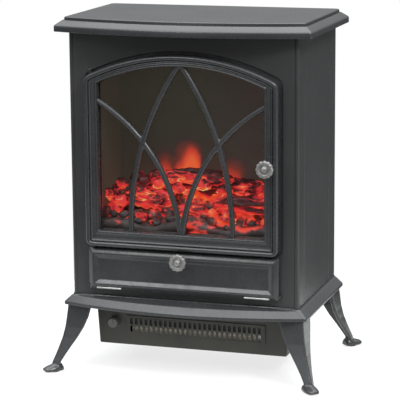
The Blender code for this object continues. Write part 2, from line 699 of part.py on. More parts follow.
def make_heater_box():
    """Tapered tray hung under the floor, open upwards."""
    outside = [heater_section(0, HEATER_TOP, HEATER_HALF_TOP),
               heater_section(0, HEATER_LOW, HEATER_HALF_LOW)]
    inside = [heater_section(WALL, HEATER_LOW + WALL, HEATER_HALF_LOW),
              heater_section(WALL, HEATER_TOP, HEATER_HALF_TOP)]
    shape = loft([outside[0], outside[1]])
    tray = build_object("heater_box", shape, "heater_black")
    hollow = inside + [[(x, y, HEATER_TOP + 10) for x, y, z in inside[1]]]
    cut(tray, build_object("heater_hollow", loft(hollow), "heater_black"))
    mouth = box("outlet_hole", (OUTLET[0] + 3, HEATER_FRONT - 10, OUTLET[2] + 3),
                (OUTLET[1] - 3, HEATER_FRONT + 10, OUTLET[3] - 3), "heater_black")
    cut(tray, mouth)
    x, z = DIAL_CENTRE
    cut(tray, rod("dial_hole", (x, HEATER_FRONT - 10, z), (x, HEATER_FRONT + 10, z), 4,
                  "heater_black"))
    intake = [((-90 + 24 * i, HEATER_BACK - 10, 50), (-74 + 24 * i, HEATER_BACK + 10, 90))
              for i in range(8)]
    cut(tray, build_object("intake_holes", boxes_shape(intake), "heater_black"))


def make_grille():
    """Slotted plate over the outlet: two rows of upright slots."""
    grille = box("outlet_grille", (OUTLET[0], HEATER_FRONT - GAP - 1.5, OUTLET[2]),
                 (OUTLET[1], HEATER_FRONT - GAP, OUTLET[3]), "heater_black")
    slots = []
    for i in range(SLOT_COUNT):
        x = OUTLET[0] + 5 + (i + 0.5) * (OUTLET[1] - OUTLET[0] - 10) / SLOT_COUNT
        for low, high in ((55.5, 65.5), (67.5, 77.0)):
            slots.append(((x - 2.3, HEATER_FRONT - 9, low), (x + 2.3, HEATER_FRONT + 9, high)))
    cut(grille, build_object("grille_slots", boxes_shape(slots), "heater_black"))


def make_heater_parts():
    front = HEATER_FRONT + WALL + 4
    element = box("heating_element", (-98, front, 48), (110, front + 14, 85), "element")
    cells = [((-94 + 10.1 * i, front - 5, 52), (-94 + 10.1 * i + 7.5, front + 20, 81))
             for i in range(20)]
    cut(element, build_object("element_cells", boxes_shape(cells), "element"))
    rod("thermal_cutout", (40, front + 7, 85 + GAP), (40, front + 7, 93), 7, "plated_steel")

    y, z = BLOWER_AXIS
    outer = [(-51, 92)] + arc((y, z), 31.5, 100, -58, 14) + [(y + 10, 39), (-51, 46)]
    inner = [(-51, 46 + WALL)] + [(y + 9, 39 + WALL)] + arc((y, z), 30, -56, 100, 14) + [(-51, 92 - WALL)]
    scroll = flat("blower_housing", [outer + inner], "yz", -102, 106, "plated_steel")
    for x in (-102, 105):
        cheek = flat(f"cheek_{x}", [[(-51, 46.5), (y + 9, 39.5)] + arc((y, z), 30.7, -56, 100, 10)
                                    + [(-51, 91.5)]], "yz", x, x + 1.0, "plated_steel")
        join(scroll, cheek)
        cut(scroll, rod(f"cheek_hole_{x}", (x - 5, y, z), (x + 6, y, z), 4.0, "plated_steel",
                        sides=16))

    drum = rod("blower_rotor", (-98, y, z), (100, y, z), 24, "plated_steel", (0, y, z), sides=24)
    cut(drum, rod("drum_bore", (-95, y, z), (110, y, z), 20, "plated_steel", sides=24))
    blades = [((-90, -3.2, 18), (94, 3.2, 30))]
    for i in range(12):
        gap = boxes_shape(blades)
        turn = Matrix.Translation((0, y, z)) @ Matrix.Rotation(math.radians(30 * i), 4, "X")
        bmesh.ops.transform(gap, verts=gap.verts, matrix=turn)
        gap_name = f"blade_gap_{i}"
        cut(drum, build_object(gap_name, gap, "plated_steel"))
    hub = rod("drum_hub", (-101.5, y, z), (112, y, z), 3, "plated_steel", sides=12)
    join(drum, hub)
    spider = rod("drum_spider", (97, y, z), (99.5, y, z), 21, "plated_steel", sides=24)
    join(drum, spider)
    motor = rod("blower_motor", (108, y, z), (140, y, z), 20, "plated_steel", (108, y, z), 24)
    cut(motor, rod("blower_bore", (100, y, z), (116, y, z), 3.4, "plated_steel", sides=16))


def make_thermostat():
    x, z = DIAL_CENTRE
    body = box("thermostat_body", (x - 12, HEATER_FRONT + WALL + GAP, z - 12),
               (x + 12, HEATER_FRONT + WALL + 16, z + 12), "black_plastic")
    cut(body, rod("thermostat_bore", (x, HEATER_FRONT - 5, z), (x, HEATER_FRONT + 12, z), 3.2,
                  "black_plastic", sides=16))
    knob = turned("thermostat_knob", [(0, 12), (6.5, 12), (7.8, 10.5), (8.6, 0), (3, 0),
                                      (3, -12), (0, -12)],
                  (x, HEATER_FRONT - 0.6, z), (0, -1, 0), "grey_plastic")
    join(knob, box("dial_pointer", (x - 0.9, HEATER_FRONT - 13.2, z - 1),
                   (x + 0.9, HEATER_FRONT - 12, z + 6.5), "grey_plastic"))


def make_wiring():
    box("terminal_block", (-163, 20, 108.2), (-152, 60, 120.5), "grey_plastic")
    turned("cord_gland", [(0, 6), (7, 6), (9, 4), (11, 0), (8, 0), (8, -SHEET - 6),
                          (0, -SHEET - 6)], (140, BODY_BACK + GAP, 150), (0, 1, 0),
           "black_plastic")


ARCH_RADIUS = (DOOR_HALF ** 2 + DOOR_RISE ** 2) / (2 * DOOR_RISE)
ARCH_CENTRE = DOOR_SPRING + DOOR_RISE - ARCH_RADIUS
DOOR_PIVOT = (DOOR_THICK / 2 - DOOR_HALF, PANEL_BACK - DOOR_THICK / 2, DOOR_LOW)
FLAP_PIVOT = (0.0, PANEL_BACK - FLAP_THICK / 2, FLAP_LOW + FLAP_THICK / 2)
OUTLET = (-106.0, 118.0, 51.0, 81.0)     # grille: low x, high x, low z, high z
SLOT_COUNT = 27
LAMP_TRAY = 124.0
ROCKER_TILT = 8.0

clear_scene()
PARTS = new_collection("electric_stove_heater")
CUTTERS = new_collection("cutters")
MATERIALS = make_materials()

make_top_plate()
make_base_frame()
make_body()
make_legs()
make_door()
make_hinges()
make_flap()
make_switches()
make_fire()
make_lamps()
make_heater_box()
make_grille()
make_heater_parts()
make_thermostat()
make_wiring()
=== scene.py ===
"""Looks of a free-standing, stove-style electric fireplace, built around its CAD frame.

Shapes are made in millimetres, in the frame's own axes (+Z up, the door faces -Y); piece()
turns them into metres.
"""
import json
import math
import random

import bmesh
import bpy
from mathutils import Matrix, Vector, noise


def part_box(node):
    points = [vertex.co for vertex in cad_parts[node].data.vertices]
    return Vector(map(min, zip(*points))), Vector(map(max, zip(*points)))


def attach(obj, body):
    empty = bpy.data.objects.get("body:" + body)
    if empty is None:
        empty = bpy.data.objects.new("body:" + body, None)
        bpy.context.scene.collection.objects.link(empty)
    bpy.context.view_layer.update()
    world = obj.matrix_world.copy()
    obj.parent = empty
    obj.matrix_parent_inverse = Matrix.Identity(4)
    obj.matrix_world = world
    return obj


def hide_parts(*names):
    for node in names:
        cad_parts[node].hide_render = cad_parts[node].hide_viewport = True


MM = 0.001
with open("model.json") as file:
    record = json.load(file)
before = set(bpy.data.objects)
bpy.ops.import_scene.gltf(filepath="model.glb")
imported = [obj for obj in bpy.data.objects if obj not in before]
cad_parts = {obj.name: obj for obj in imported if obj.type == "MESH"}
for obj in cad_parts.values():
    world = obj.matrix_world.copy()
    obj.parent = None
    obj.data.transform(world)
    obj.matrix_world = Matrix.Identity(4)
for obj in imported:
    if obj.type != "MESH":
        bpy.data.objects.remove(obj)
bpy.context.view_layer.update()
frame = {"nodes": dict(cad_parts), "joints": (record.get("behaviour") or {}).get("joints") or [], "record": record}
for plain in list(bpy.data.materials):
    bpy.data.materials.remove(plain)


def reach(*nodes):
    """Lowest and highest corner of some CAD nodes, in millimetres."""
    corners = [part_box(node) for node in nodes]
    low = Vector([min(pair[0][i] for pair in corners) for i in range(3)]) / MM
    high = Vector([max(pair[1][i] for pair in corners) for i in range(3)]) / MM
    return low, high


# ---- driving dimensions, in millimetres ----
BODY = reach("front_frame", "side_panel_left", "side_panel_right", "back_cover")
DOOR = reach("door_frame")
FLAP = reach("ash_flap")
TOP = reach("top_plate")
BASE = reach("base_frame")
HEATER = reach("heater_box")
GRILLE = reach("outlet_grille")
PANE = reach("door_glass")
BED = reach("ember_bed")

BODY_HALF = BODY[1].x
BODY_FRONT = BODY[0].y
BODY_BACK = BODY[1].y
TOP_BOW = 30.0                 # how far the top board's front edge bows forward
BASE_BOW = 28.0
POST = 8.0                     # width of the rounded post at the body's front corners
DOOR_RISE = 37.0               # rise of the door's arch
DOOR_HALF = DOOR[1].x
ARCH_RADIUS = (DOOR_HALF ** 2 + DOOR_RISE ** 2) / (2 * DOOR_RISE)
ARCH_CENTRE = DOOR[1].z - ARCH_RADIUS
REBATE = 5.2                   # how far the glass reaches behind the window's edge
WINDOW_HALF = PANE[1].x - REBATE + 0.3
WINDOW_LOW = PANE[0].z + REBATE - 0.3
WINDOW_RADIUS = ARCH_RADIUS - 17.0
BAR_RADIUS = 4.4               # lattice bars
SIDE_LINES = (32.0, 185.0)     # pressed lines on each side, from the body's front


def joint_place(child):
    """Where a moving body's joint is, in millimetres."""
    return Vector(next(j["pos_m"] for j in frame["joints"] if j["child"] == child)) / MM


# ---- outlines and profiles ----
def arc(centre, radius, start_deg, end_deg, count):
    points = []
    for i in range(count + 1):
        angle = math.radians(start_deg + (end_deg - start_deg) * i / count)
        points.append((centre[0] + radius * math.cos(angle),
                       centre[1] + radius * math.sin(angle)))
    return points


def rounded(points, closed=False, steps=4):
    """Ease each corner (u, v, ease) of a profile; ease is how far the curve starts from it."""
    result = []
    for i, (u, v, ease) in enumerate(points):
        here = Vector((u, v))
        if not ease or (not closed and i in (0, len(points) - 1)):
            result.append((u, v))
            continue
        ends = []
        for other in (points[i - 1], points[(i + 1) % len(points)]):
            way = Vector(other[:2]) - here
            ends.append(here + way.normalized() * min(ease, way.length * 0.48))
        for k in range(steps + 1):
            t = k / steps
            result.append(tuple(ends[0] * (1 - t) ** 2 + here * 2 * t * (1 - t) + ends[1] * t * t))
    return result


def bowed_outline(half, front, back, bow, corner):
    """Plan of a board: straight sides and back, front bowed forward by bow."""
    steps = [-1 + 2 * i / 64 for i in range(65)]
    points = [(x * (half - corner), front - bow * (1 - x * x)) for x in steps]
    turns = (((half - corner, front + corner), -90, 0), ((half - corner, back - corner), 0, 90),
             ((corner - half, back - corner), 90, 180), ((corner - half, front + corner), 180, 270))
    ends = [arc(centre, corner, start, end, 6) for centre, start, end in turns]
    return points + ends[0][1:] + ends[1] + ends[2] + ends[3][:-1]


def arched_outline(half, low, radius, corner, shoulder):
    """Door outline: straight sides, arched top, rounded lower corners and shoulders."""
    rise = math.sqrt((radius - shoulder) ** 2 - (half - shoulder) ** 2)
    spread = math.degrees(math.atan2(half - shoulder, rise))
    turn_z = ARCH_CENTRE + rise
    inner = half - corner
    return (arc((-inner, low + corner), corner, 180, 270, 8)
            + arc((inner, low + corner), corner, 270, 360, 8)
            + arc((half - shoulder, turn_z), shoulder, 0, 90 - spread, 12)[:-1]
            + arc((0.0, ARCH_CENTRE), radius, 90 - spread, 90 + spread, 56)
            + arc((shoulder - half, turn_z), shoulder, 90 + spread, 180, 12)[1:])


def rectangle(low_x, low_y, high_x, high_y, corner=0.0):
    if not corner:
        return [(low_x, low_y), (high_x, low_y), (high_x, high_y), (low_x, high_y)]
    inner = ((high_x - corner, low_y + corner, -90), (high_x - corner, high_y - corner, 0),
             (low_x + corner, high_y - corner, 90), (low_x + corner, low_y + corner, 180))
    points = []
    for x, y, start in inner:
        points += arc((x, y), corner, start, start + 90, 5)
    return points


def arc_through(points):
    """Evenly spaced points on the arc through three points."""
    (ax, ay), (bx, by), (cx, cy) = points
    d = 2 * (ax * (by - cy) + bx * (cy - ay) + cx * (ay - by))
    squares = [px * px + py * py for px, py in points]
    ux = (squares[0] * (by - cy) + squares[1] * (cy - ay) + squares[2] * (ay - by)) / d
    uy = (squares[0] * (cx - bx) + squares[1] * (ax - cx) + squares[2] * (bx - ax)) / d
    start, end = [math.degrees(math.atan2(y - uy, x - ux)) for x, y in (points[0], points[2])]
    end = start + (end - start + 180) % 360 - 180      # the short way round
    return arc((ux, uy), math.hypot(ax - ux, ay - uy), start, end, 40)


def level(plan, z):
    """An outline lying flat at a height."""
    return [(x, y, z) for x, y in plan]


def upright(plan, y):
    """An outline standing upright at a depth."""
    return [(x, y, z) for x, z in plan]


# ---- shapes ----
def loft(rings, closed=False):
    """Skin rings with equal numbers of points; closed joins the last ring to the first."""
    shape = bmesh.new()
    rows = [[shape.verts.new(point) for point in ring] for ring in rings]
    pairs = list(zip(rows, rows[1:]))
    if closed:
        pairs.append((rows[-1], rows[0]))
    else:
        shape.faces.new(rows[0])
        shape.faces.new(rows[-1])
    for lower, upper in pairs:
        for i, corner in enumerate(lower):
            following = (i + 1) % len(lower)
            shape.faces.new((corner, lower[following], upper[following], upper[i]))
    return shape


UPRIGHT = Matrix(((1, 0, 0), (0, 0, 1), (0, 1, 0))).to_4x4()     # an outline's y turned to z


def placed(name, data):
    """A new object in the scene."""
    made = bpy.data.objects.new(name, data)
    bpy.context.scene.collection.objects.link(made)
    return made


def mesh_of(shape, name):
    mesh = bpy.data.meshes.new(name)
    shape.to_mesh(mesh)
    shape.free()
    return mesh


def metre_mesh(shape, name):
    """A shape's mesh, turned from millimetres into metres, its faces looking outwards."""
    bmesh.ops.scale(shape, verts=shape.verts, vec=(MM, MM, MM))
    bmesh.ops.recalc_face_normals(shape, faces=shape.faces)
    return mesh_of(shape, name)


def applied(made):
    """An object's mesh with its modifiers applied, or a curve's filled outline."""
    bpy.context.view_layer.update()
    evaluated = made.evaluated_get(bpy.context.evaluated_depsgraph_get())
    return bpy.data.meshes.new_from_object(evaluated)


def plate(loops, front, back):
    """An upright plate; the first outline is its outside, the others are holes."""
    curve = bpy.data.curves.new("outline", "CURVE")
    curve.dimensions = "2D"
    curve.fill_mode = "BOTH"
    curve.extrude = (back - front) / 2
    for loop in loops:
        spline = curve.splines.new("POLY")
        spline.points.add(len(loop) - 1)
        spline.use_cyclic_u = True
        for point, (x, y) in zip(spline.points, loop):
            point.co = (x, y, 0.0, 1.0)
    outline = placed("outline", curve)
    mesh = applied(outline)
    bpy.data.objects.remove(outline, do_unlink=True)
    shape = bmesh.new()
    shape.from_mesh(mesh)
    bpy.data.meshes.remove(mesh)
    bmesh.ops.remove_doubles(shape, verts=shape.verts, dist=0.001)
    bmesh.ops.translate(shape, verts=shape.verts, vec=(0, 0, (front + back) / 2))
    bmesh.ops.transform(shape, verts=shape.verts, matrix=UPRIGHT)
    return shape


def sweep(path, section):
    """Skin a section (u along y, v across the path) along an upright plane path."""
    side = Vector((0, 1, 0))
    rings = []
    for i, point in enumerate(path):
        ahead = path[min(i + 1, len(path) - 1)] - path[max(i - 1, 0)]
        across = ahead.normalized().cross(side)
        rings.append([point + u * side + v * across for u, v in section])
    return loft(rings)


def turned(profile, base, direction, sides=48, wave=None):
    """Rings of (radius, height) round direction; wave(angle, radius) adds to the radius."""
    rings = []
    turn = Vector((0, 0, 1)).rotation_difference(Vector(direction)).to_matrix()
    angles = [2 * math.pi * k / sides for k in range(sides)]
    for radius, height in profile:
        ring = []
        for angle in angles:
            r = radius + (wave(angle, radius) if wave else 0.0)
            at = Vector((r * math.cos(angle), r * math.sin(angle), height))
            ring.append(Vector(base) + turn @ at)
        rings.append(ring)
    return loft(rings)


def rod_shape(start, end, radius, sides=32, ease=0.6):
    """A round bar with eased ends."""
    start, end = Vector(start), Vector(end)
    length = (end - start).length
    profile = rounded([(radius * 0.3, 0, 0), (radius, 0, ease), (radius, length, ease),
                       (radius * 0.3, length, 0)])
    return turned(profile, start, (end - start).normalized(), sides)


def block(low, high, ease=0.6):
    """A cuboid whose edges are eased."""
    shape = bmesh.new()
    low, high = Vector(low), Vector(high)
    bmesh.ops.create_cube(shape, size=1.0)
    bmesh.ops.scale(shape, verts=shape.verts, vec=high - low)
    bmesh.ops.translate(shape, verts=shape.verts, vec=(low + high) / 2)
    bmesh.ops.bevel(shape, geom=shape.edges, offset=ease, segments=3, profile=0.5,
                    affect="EDGES")
    return shape


def merged(*shapes):
    """One bmesh holding several."""
    whole = shapes[0]
    for other in shapes[1:]:
        mesh = mesh_of(other, "part")
        whole.from_mesh(mesh)
        bpy.data.meshes.remove(mesh)
    return whole


def piece(name, shape, slot, nodes=(), body="stove", sharp=38.0, bevel=0.0):
    """A finished piece riding on body; it stands for some CAD nodes."""
    mesh = metre_mesh(shape, name)
    mesh.shade_smooth()
    mesh.set_sharp_from_angle(angle=math.radians(sharp))
    mesh.materials.append(MATERIALS[slot])
    made = placed(name, mesh)
    if bevel:
        ease = made.modifiers.new("eased edges", "BEVEL")
        ease.width = bevel * MM
        ease.segments = 2
        ease.limit_method = "ANGLE"
        ease.angle_limit = math.radians(35)
    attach(made, body)
    if nodes:
        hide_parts(*nodes)
    return made


def solidified(made, voxel, smooth):
    """Fuse a piece's overlapping shapes into one soft-edged casting."""
    fuse = made.modifiers.new("fuse", "REMESH")
    fuse.mode = "VOXEL"
    fuse.voxel_size = voxel * MM
    fuse.use_smooth_shade = True
    soften = made.modifiers.new("soften", "SMOOTH")
    soften.iterations = smooth
    soften.factor = 0.5
    mesh = applied(made)
    mesh.name = made.name
    made.modifiers.clear()
    made.data = mesh


def carve(made, *cutters):
    """Cut shapes out of a piece, then drop the cutters."""
    for shape in cutters:
        mesh = metre_mesh(shape, "cutter")
        tool = placed("cutter", mesh)
        change = made.modifiers.new("cut", "BOOLEAN")
        change.operation = "DIFFERENCE"
        change.solver = "EXACT"
        change.object = tool
        result = applied(made)
        made.modifiers.remove(change)
        made.data = result
        bpy.data.objects.remove(tool, do_unlink=True)
        bpy.data.meshes.remove(mesh)
    made.data.name = made.name


# ---- materials ----
def feed(tree, socket, value):
    """Set a node's input, or link it to another node's output."""
    if isinstance(value, bpy.types.NodeSocket):
        tree.links.new(value, socket)
    else:
        socket.default_value = value


def add_node(tree, kind, **inputs):
    node = tree.nodes.new("ShaderNode" + kind)
    for name, value in inputs.items():
        feed(tree, node.inputs[name.replace("_", " ")], value)
    return node


def ramp(tree, source, stops):
    """A colour ramp; stops are (position, colour)."""
    node = add_node(tree, "ValToRGB", Fac=source)
    elements = node.color_ramp.elements
    while len(elements) < len(stops):
        elements.new(0.5)
    for element, (position, colour) in zip(elements, stops):
        element.position = position
        element.color = (*colour, 1)
    return node.outputs["Color"]


class Finish:
    """A Principled material built from procedural nodes in the piece's own coordinates."""

    def __init__(self, name, colour, roughness, metallic=0.0, **sockets):
        self.material = bpy.data.materials.new(name)
        self.material.use_nodes = True
        self.tree = self.material.node_tree
        self.shader = self.tree.nodes["Principled BSDF"]
        self.colour = colour
        sockets.update(Base_Color=(*colour, 1.0), Roughness=roughness, Metallic=metallic)
        for socket, value in sockets.items():
            self.feed(socket.replace("_", " "), value)
        self.place = self.node("TexCoord").outputs["Object"]

    def feed(self, socket, value):
        """Set or link one of the shader's inputs."""
        feed(self.tree, self.shader.inputs[socket], value)

    def node(self, kind, **inputs):
        return add_node(self.tree, kind, **inputs)

    def stretched(self, scale):
        """The piece's coordinates, scaled along each axis."""
        return self.node("Mapping", Vector=self.place, Scale=scale).outputs["Vector"]

    def noise(self, scale, detail=4.0, stretch=(1, 1, 1), roughness=0.5):
        """Noise; scale is in cycles per metre."""
        return self.node("TexNoise", Vector=self.stretched(stretch), Scale=scale, Detail=detail,
                         Roughness=roughness).outputs["Fac"]

    def span(self, source, low, high, out_low, out_high):
        """Low to high of the source, mapped to out_low to out_high and clamped."""
        return self.node("MapRange", Value=source, From_Min=low, From_Max=high, To_Min=out_low,
                         To_Max=out_high).outputs["Result"]

    def maths(self, operation, first, second=0.0):
        node = self.node("Math")
        node.operation = operation
        feed(self.tree, node.inputs[0], first)
        feed(self.tree, node.inputs[1], second)
        return node.outputs["Value"]

    def add(self, first, second):
        return self.maths("ADD", first, second)

    def times(self, first, second):
        return self.maths("MULTIPLY", first, second)

    def minus(self, first, second):
        return self.maths("SUBTRACT", first, second)

    def part(self, name, vector=None):
        """One coordinate of a vector, or of the place on the piece."""
        return self.node("SeparateXYZ", Vector=vector or self.place).outputs[name]

    def tint(self, source, share):
        """Vary the base colour: the source lowers or raises it by share."""
        dark, light = [[min(1.0, c * k) for c in self.colour] for k in (1 - share, 1 + share)]
        self.feed("Base Color", ramp(self.tree, source, ((0.3, dark), (0.7, light))))

    def sheen(self, source, low, high):
        """Vary the roughness between low and high."""
        self.feed("Roughness", self.span(source, 0.3, 0.7, low, high))

    def bump(self, *layers):
        """layers are (height source, depth in millimetres)."""
        normal = None
        for source, depth in layers:
            node = self.node("Bump", Height=source, Distance=depth * MM)
            if normal:
                feed(self.tree, node.inputs["Normal"], normal)
            normal = node.outputs["Normal"]
        self.feed("Normal", normal)

    def glow(self, strength, source, *stops):
        """Light given off, its colour picked by the source."""
        self.feed("Emission Color", ramp(self.tree, source, stops))
        self.feed("Emission Strength", strength)


def plain(name, colour, roughness, tint, sheen=(), bumps=(), metallic=0.0, **sockets):
    """tint is (noise, share), sheen (noise, low, high) and each bump (noise, millimetres)."""
    finish = Finish(name, colour, roughness, metallic, **sockets)
    finish.tint(finish.noise(*tint[0]), tint[1])
    if sheen:
        finish.sheen(finish.noise(*sheen[0]), *sheen[1:])
    if bumps:
        finish.bump(*[(finish.noise(*grain), depth) for grain, depth in bumps])
    return finish


def plain_finishes():
    return [
        # satin charcoal paint on sheet steel: faint orange peel and slow tone changes
        plain("black_enamel", (0.033, 0.0335, 0.034), 0.34, ((9, 3), 0.12),
              ((60, 5), 0.30, 0.37), (((700, 2), 0.003), ((45, 2), 0.012)),
              Specular_IOR_Level=0.4),
        # the same charcoal on moulded parts, with a fine cast grain
        plain("black_casting", (0.029, 0.030, 0.0315), 0.28, ((14, 4), 0.16),
              ((90, 5), 0.24, 0.31), (((1100, 3, (1, 1, 1), 0.6), 0.0016), ((50, 2), 0.008)),
              Specular_IOR_Level=0.5),
        # antique metal, dull and dark in patches
        plain("pewter", (0.27, 0.265, 0.262), 0.48, ((260, 5), 0.25), ((420, 4), 0.38, 0.54),
              (((900, 3), 0.03),), 0.75),
        plain("heater_black", (0.036, 0.0355, 0.029), 0.5, ((18, 4), 0.2),
              ((140, 4), 0.44, 0.56), (((1500, 2), 0.03),), Specular_IOR_Level=0.4),
        # the element's faint emission is a painted glow that lightens the honeycomb
        plain("element", (0.78, 0.75, 0.68), 0.45, ((160, 3), 0.15), (), (((1200, 2), 0.02),),
              0.25, Emission_Color=(1.0, 0.96, 0.86, 1.0), Emission_Strength=0.03),
        plain("black_plastic", (0.028, 0.028, 0.028), 0.45, ((40, 3), 0.08),
              ((200, 3), 0.40, 0.50), (((2200, 2), 0.015),)),
        plain("grey_plastic", (0.11, 0.11, 0.105), 0.42, ((40, 3), 0.08),
              ((200, 3), 0.37, 0.47), (((2200, 2), 0.015),)),
        plain("rubber", (0.02, 0.02, 0.02), 0.8, ((80, 4), 0.2), (), (((900, 4), 0.05),)),
        plain("bulb_glass", (0.95, 0.85, 0.65), 0.12, ((60, 2), 0.05), Alpha=0.6,
              Emission_Color=(1.0, 0.55, 0.2, 1.0), Emission_Strength=1.5)]


def plated_steel():
    finish = Finish("plated_steel", (0.45, 0.45, 0.44), 0.36, 1.0)
    spangle = finish.node("TexVoronoi", Vector=finish.stretched((1, 1, 1)), Scale=70)
    finish.tint(spangle.outputs["Distance"], 0.12)
    finish.sheen(finish.noise(900, 4, (0.05, 1, 1)), 0.30, 0.44)
    finish.bump((finish.noise(1400, 2, (0.04, 1, 1)), 0.01))
    return finish


def smoked_glass():
    finish = Finish("smoked_glass", (0.012, 0.011, 0.010), 0.06, Alpha=0.14)
    finish.sheen(finish.noise(30, 3), 0.04, 0.09)
    return finish


def glowing_resin():
    """Ember bed and coals: dull ash with a painted glow in noise patches, stronger higher up and towards the
    right, for light from below showing through the thin places.
    """
    finish = Finish("ember_resin", (0.075, 0.062, 0.060), 0.55)
    patches = finish.noise(38, 5, (1, 1, 1.6), 0.6)
    # painted light: the glow grows higher up and towards the right
    height = finish.span(finish.part("Z"), 0.226, 0.262, -0.12, 0.06)
    across = finish.span(finish.part("X"), -0.04, 0.05, -0.055, 0.085)
    glow_level = finish.add(finish.add(patches, height), across)
    finish.glow(0.92, glow_level, (0.44, (0, 0, 0)), (0.50, (0.10, 0.004, 0.002)),
                (0.57, (0.9, 0.035, 0.018)), (0.68, (1.0, 0.10, 0.02)),
                (0.78, (1.0, 0.55, 0.12)))
    finish.tint(finish.noise(55, 5), 0.45)
    finish.bump((finish.noise(240, 6, roughness=0.7), 0.5))
    return finish


def glowing_log():
    """Moulded logs with a painted glow: red below, less on upward-facing tops, orange clefts and thin pale bright
    seams.
    """
    finish = Finish("log_resin", (0.10, 0.016, 0.016), 0.5)
    patches = finish.noise(30, 3, (0.8, 1, 1.2), 0.55)
    bark = finish.noise(80, 3, (0.4, 1, 1.3), 0.6)
    glow_level = finish.add(finish.times(patches, 0.68), finish.times(bark, 0.36))
    # painted shade: upward-facing surfaces get less glow, as if the light came from below
    facing_up = finish.part("Z", finish.node("NewGeometry").outputs["Normal"])
    glow_level = finish.minus(glow_level, finish.times(facing_up, 0.085))
    # painted glow: thin pale lines of extra light along noise seams
    seam = finish.maths("ABSOLUTE", finish.minus(finish.noise(46, 2, (0.22, 1, 1)), 0.5))
    glow_level = finish.add(glow_level, finish.span(seam, 0.0, 0.016, 0.17, 0.0))
    finish.glow(0.88, glow_level, (0.425, (0.004, 0, 0.001)), (0.475, (0.07, 0.003, 0.005)),
                (0.53, (0.72, 0.024, 0.030)), (0.60, (1.0, 0.052, 0.042)),
                (0.67, (1.0, 0.17, 0.035)), (0.77, (1.0, 0.72, 0.30)))
    finish.tint(finish.noise(90, 5, (0.4, 1, 1)), 0.5)
    finish.bump((finish.noise(220, 5, (0.3, 1, 1), 0.65), 0.6))
    return finish


PLUMES = (                     # centre x, half-width, tip height, strength, on the screen
    (-31.0, 28.0, 350.0, 1.5), (-72.0, 26.0, 338.0, 0.75), (37.0, 26.0, 326.0, 0.8))
PLUME_HEIGHT = 60              # a plume fades from its tip this far down


def flame_panel():
    """Smoky screen with soft tongues of orange light rising from behind the logs."""
    finish = Finish("flame_panel", (0.05, 0.042, 0.034), 0.45)
    up = finish.part("Z")
    flicker = finish.span(finish.noise(24, 3, (1, 1, 0.5)), 0.3, 0.7, -0.010, 0.010)
    across = finish.add(finish.part("X"), flicker)
    total = finish.span(across, -0.02, 0.12, 0.0, 0.10)
    for centre, half_width, tip, strength in PLUMES:
        aside = finish.maths("DIVIDE", finish.minus(across, centre * MM), half_width * MM)
        aside = finish.maths("POWER", finish.maths("ABSOLUTE", aside), 2.0)
        inside = finish.maths("MAXIMUM", finish.minus(1.0, aside), 0.0)
        below = finish.span(up, (tip - PLUME_HEIGHT) * MM, tip * MM, 1.0, 0.0)
        glow_level = finish.times(finish.maths("POWER", inside, 1.6), finish.times(below, strength))
        total = finish.add(total, glow_level)
    finish.glow(0.9, total, (0.0, (0.031, 0.027, 0.019)), (0.12, (0.036, 0.022, 0.021)),
                (0.30, (0.16, 0.026, 0.016)), (0.55, (0.75, 0.055, 0.025)),
                (0.85, (1.0, 0.14, 0.035)))
    return finish


def smoky_liner():
    """Sooty firebox walls with a faint painted glow for the fire's light on them, more and redder low down."""
    finish = Finish("smoky_liner", (0.06, 0.05, 0.04), 0.5)
    # painted light: the walls glow faintly everywhere, more and redder towards the bottom
    low_down = finish.span(finish.part("Z"), 0.225, 0.34, 1.0, 0.0)
    finish.glow(1.0, low_down, (0.0, (0.030, 0.026, 0.018)), (0.55, (0.040, 0.027, 0.018)),
                (1.0, (0.11, 0.020, 0.013)))
    return finish


MATERIALS = {finish.material.name: finish.material for finish in (
    *plain_finishes(), plated_steel(), smoked_glass(), glowing_resin(), glowing_log(),
    flame_panel(), smoky_liner())}
LOOKS = {"firebox_liner": "smoky_liner"}      # nodes whose look differs from their slot's


def dress_frame():
    """Every CAD node gets its slot's procedural finish; most are then replaced."""
    for part in frame["record"]["subparts"]:
        node = frame["nodes"][part["node"]]
        slot = part["material_slot"]
        node.data.materials.clear()
        node.data.materials.append(MATERIALS[LOOKS.get(part["node"], slot)])


# ---- body ----
def make_top_board():
    """Bowed board: fascia, eased chamfer, a small step and the flat top."""
    low, high = TOP
    front = low.y + TOP_BOW
    base, top = low.z, high.z
    profile = rounded([(18, base + 4, 0), (18, base, 0.5), (0, base, 0.8), (0, base + 9, 2.2),
                       (10.8, base + 17, 0.9), (11.5, base + 15.4, 0.3), (12.4, base + 15.4, 0.3),
                       (12.4, top - 0.9, 0.9), (14.0, top, 0.8), (17.0, top, 0)])
    rings = [level(bowed_outline(high.x - inset, front + inset, high.y - inset, TOP_BOW, 5.0), z)
             for inset, z in profile]
    piece("top_board", loft(rings), "black_casting", ["top_plate"])


def make_base_moulding():
    """Moulding under the body: a small step, a flat that bows forward, a chamfer and a lip."""
    low, high = BASE
    front = low.y + BASE_BOW
    top, bottom = high.z, low.z
    run = 30.0                         # the overhang that the profile is drawn for
    flat, early = 0.24, 0.82           # the flat's share of the overhang, and of the bow
    profile = rounded([(0, top, 0), (0.8, top, 0.4), (1.4, top - 2.2, 1.0),
                       (flat * run, top - 3.8, 2.2), (0.92 * run, 108.2, 2.2),
                       (run, 107.0, 1.2), (run, bottom, 1.0), (26.0, bottom, 0)])

    def outer(along, z):
        share = along / run
        bow = BASE_BOW * min(share / flat * early,
                             early + (1 - early) * (share - flat) / (1 - flat))
        ends = [a + (b - a) * share for a, b in ((BODY_HALF + 0.6, high.x),
                                                 (BODY_FRONT - 0.6, front),
                                                 (BODY_BACK + 0.6, high.y))]
        return level(bowed_outline(*ends, bow, 5.0), z)

    def inner(z):
        return level(bowed_outline(164.0, BODY_FRONT + 15, BODY_BACK - 15, 0.0, 5), z)

    rings = [inner(top)] + [outer(*point) for point in profile] + [inner(bottom)]
    piece("base_moulding", loft(rings, closed=True), "black_casting", ["base_frame"])


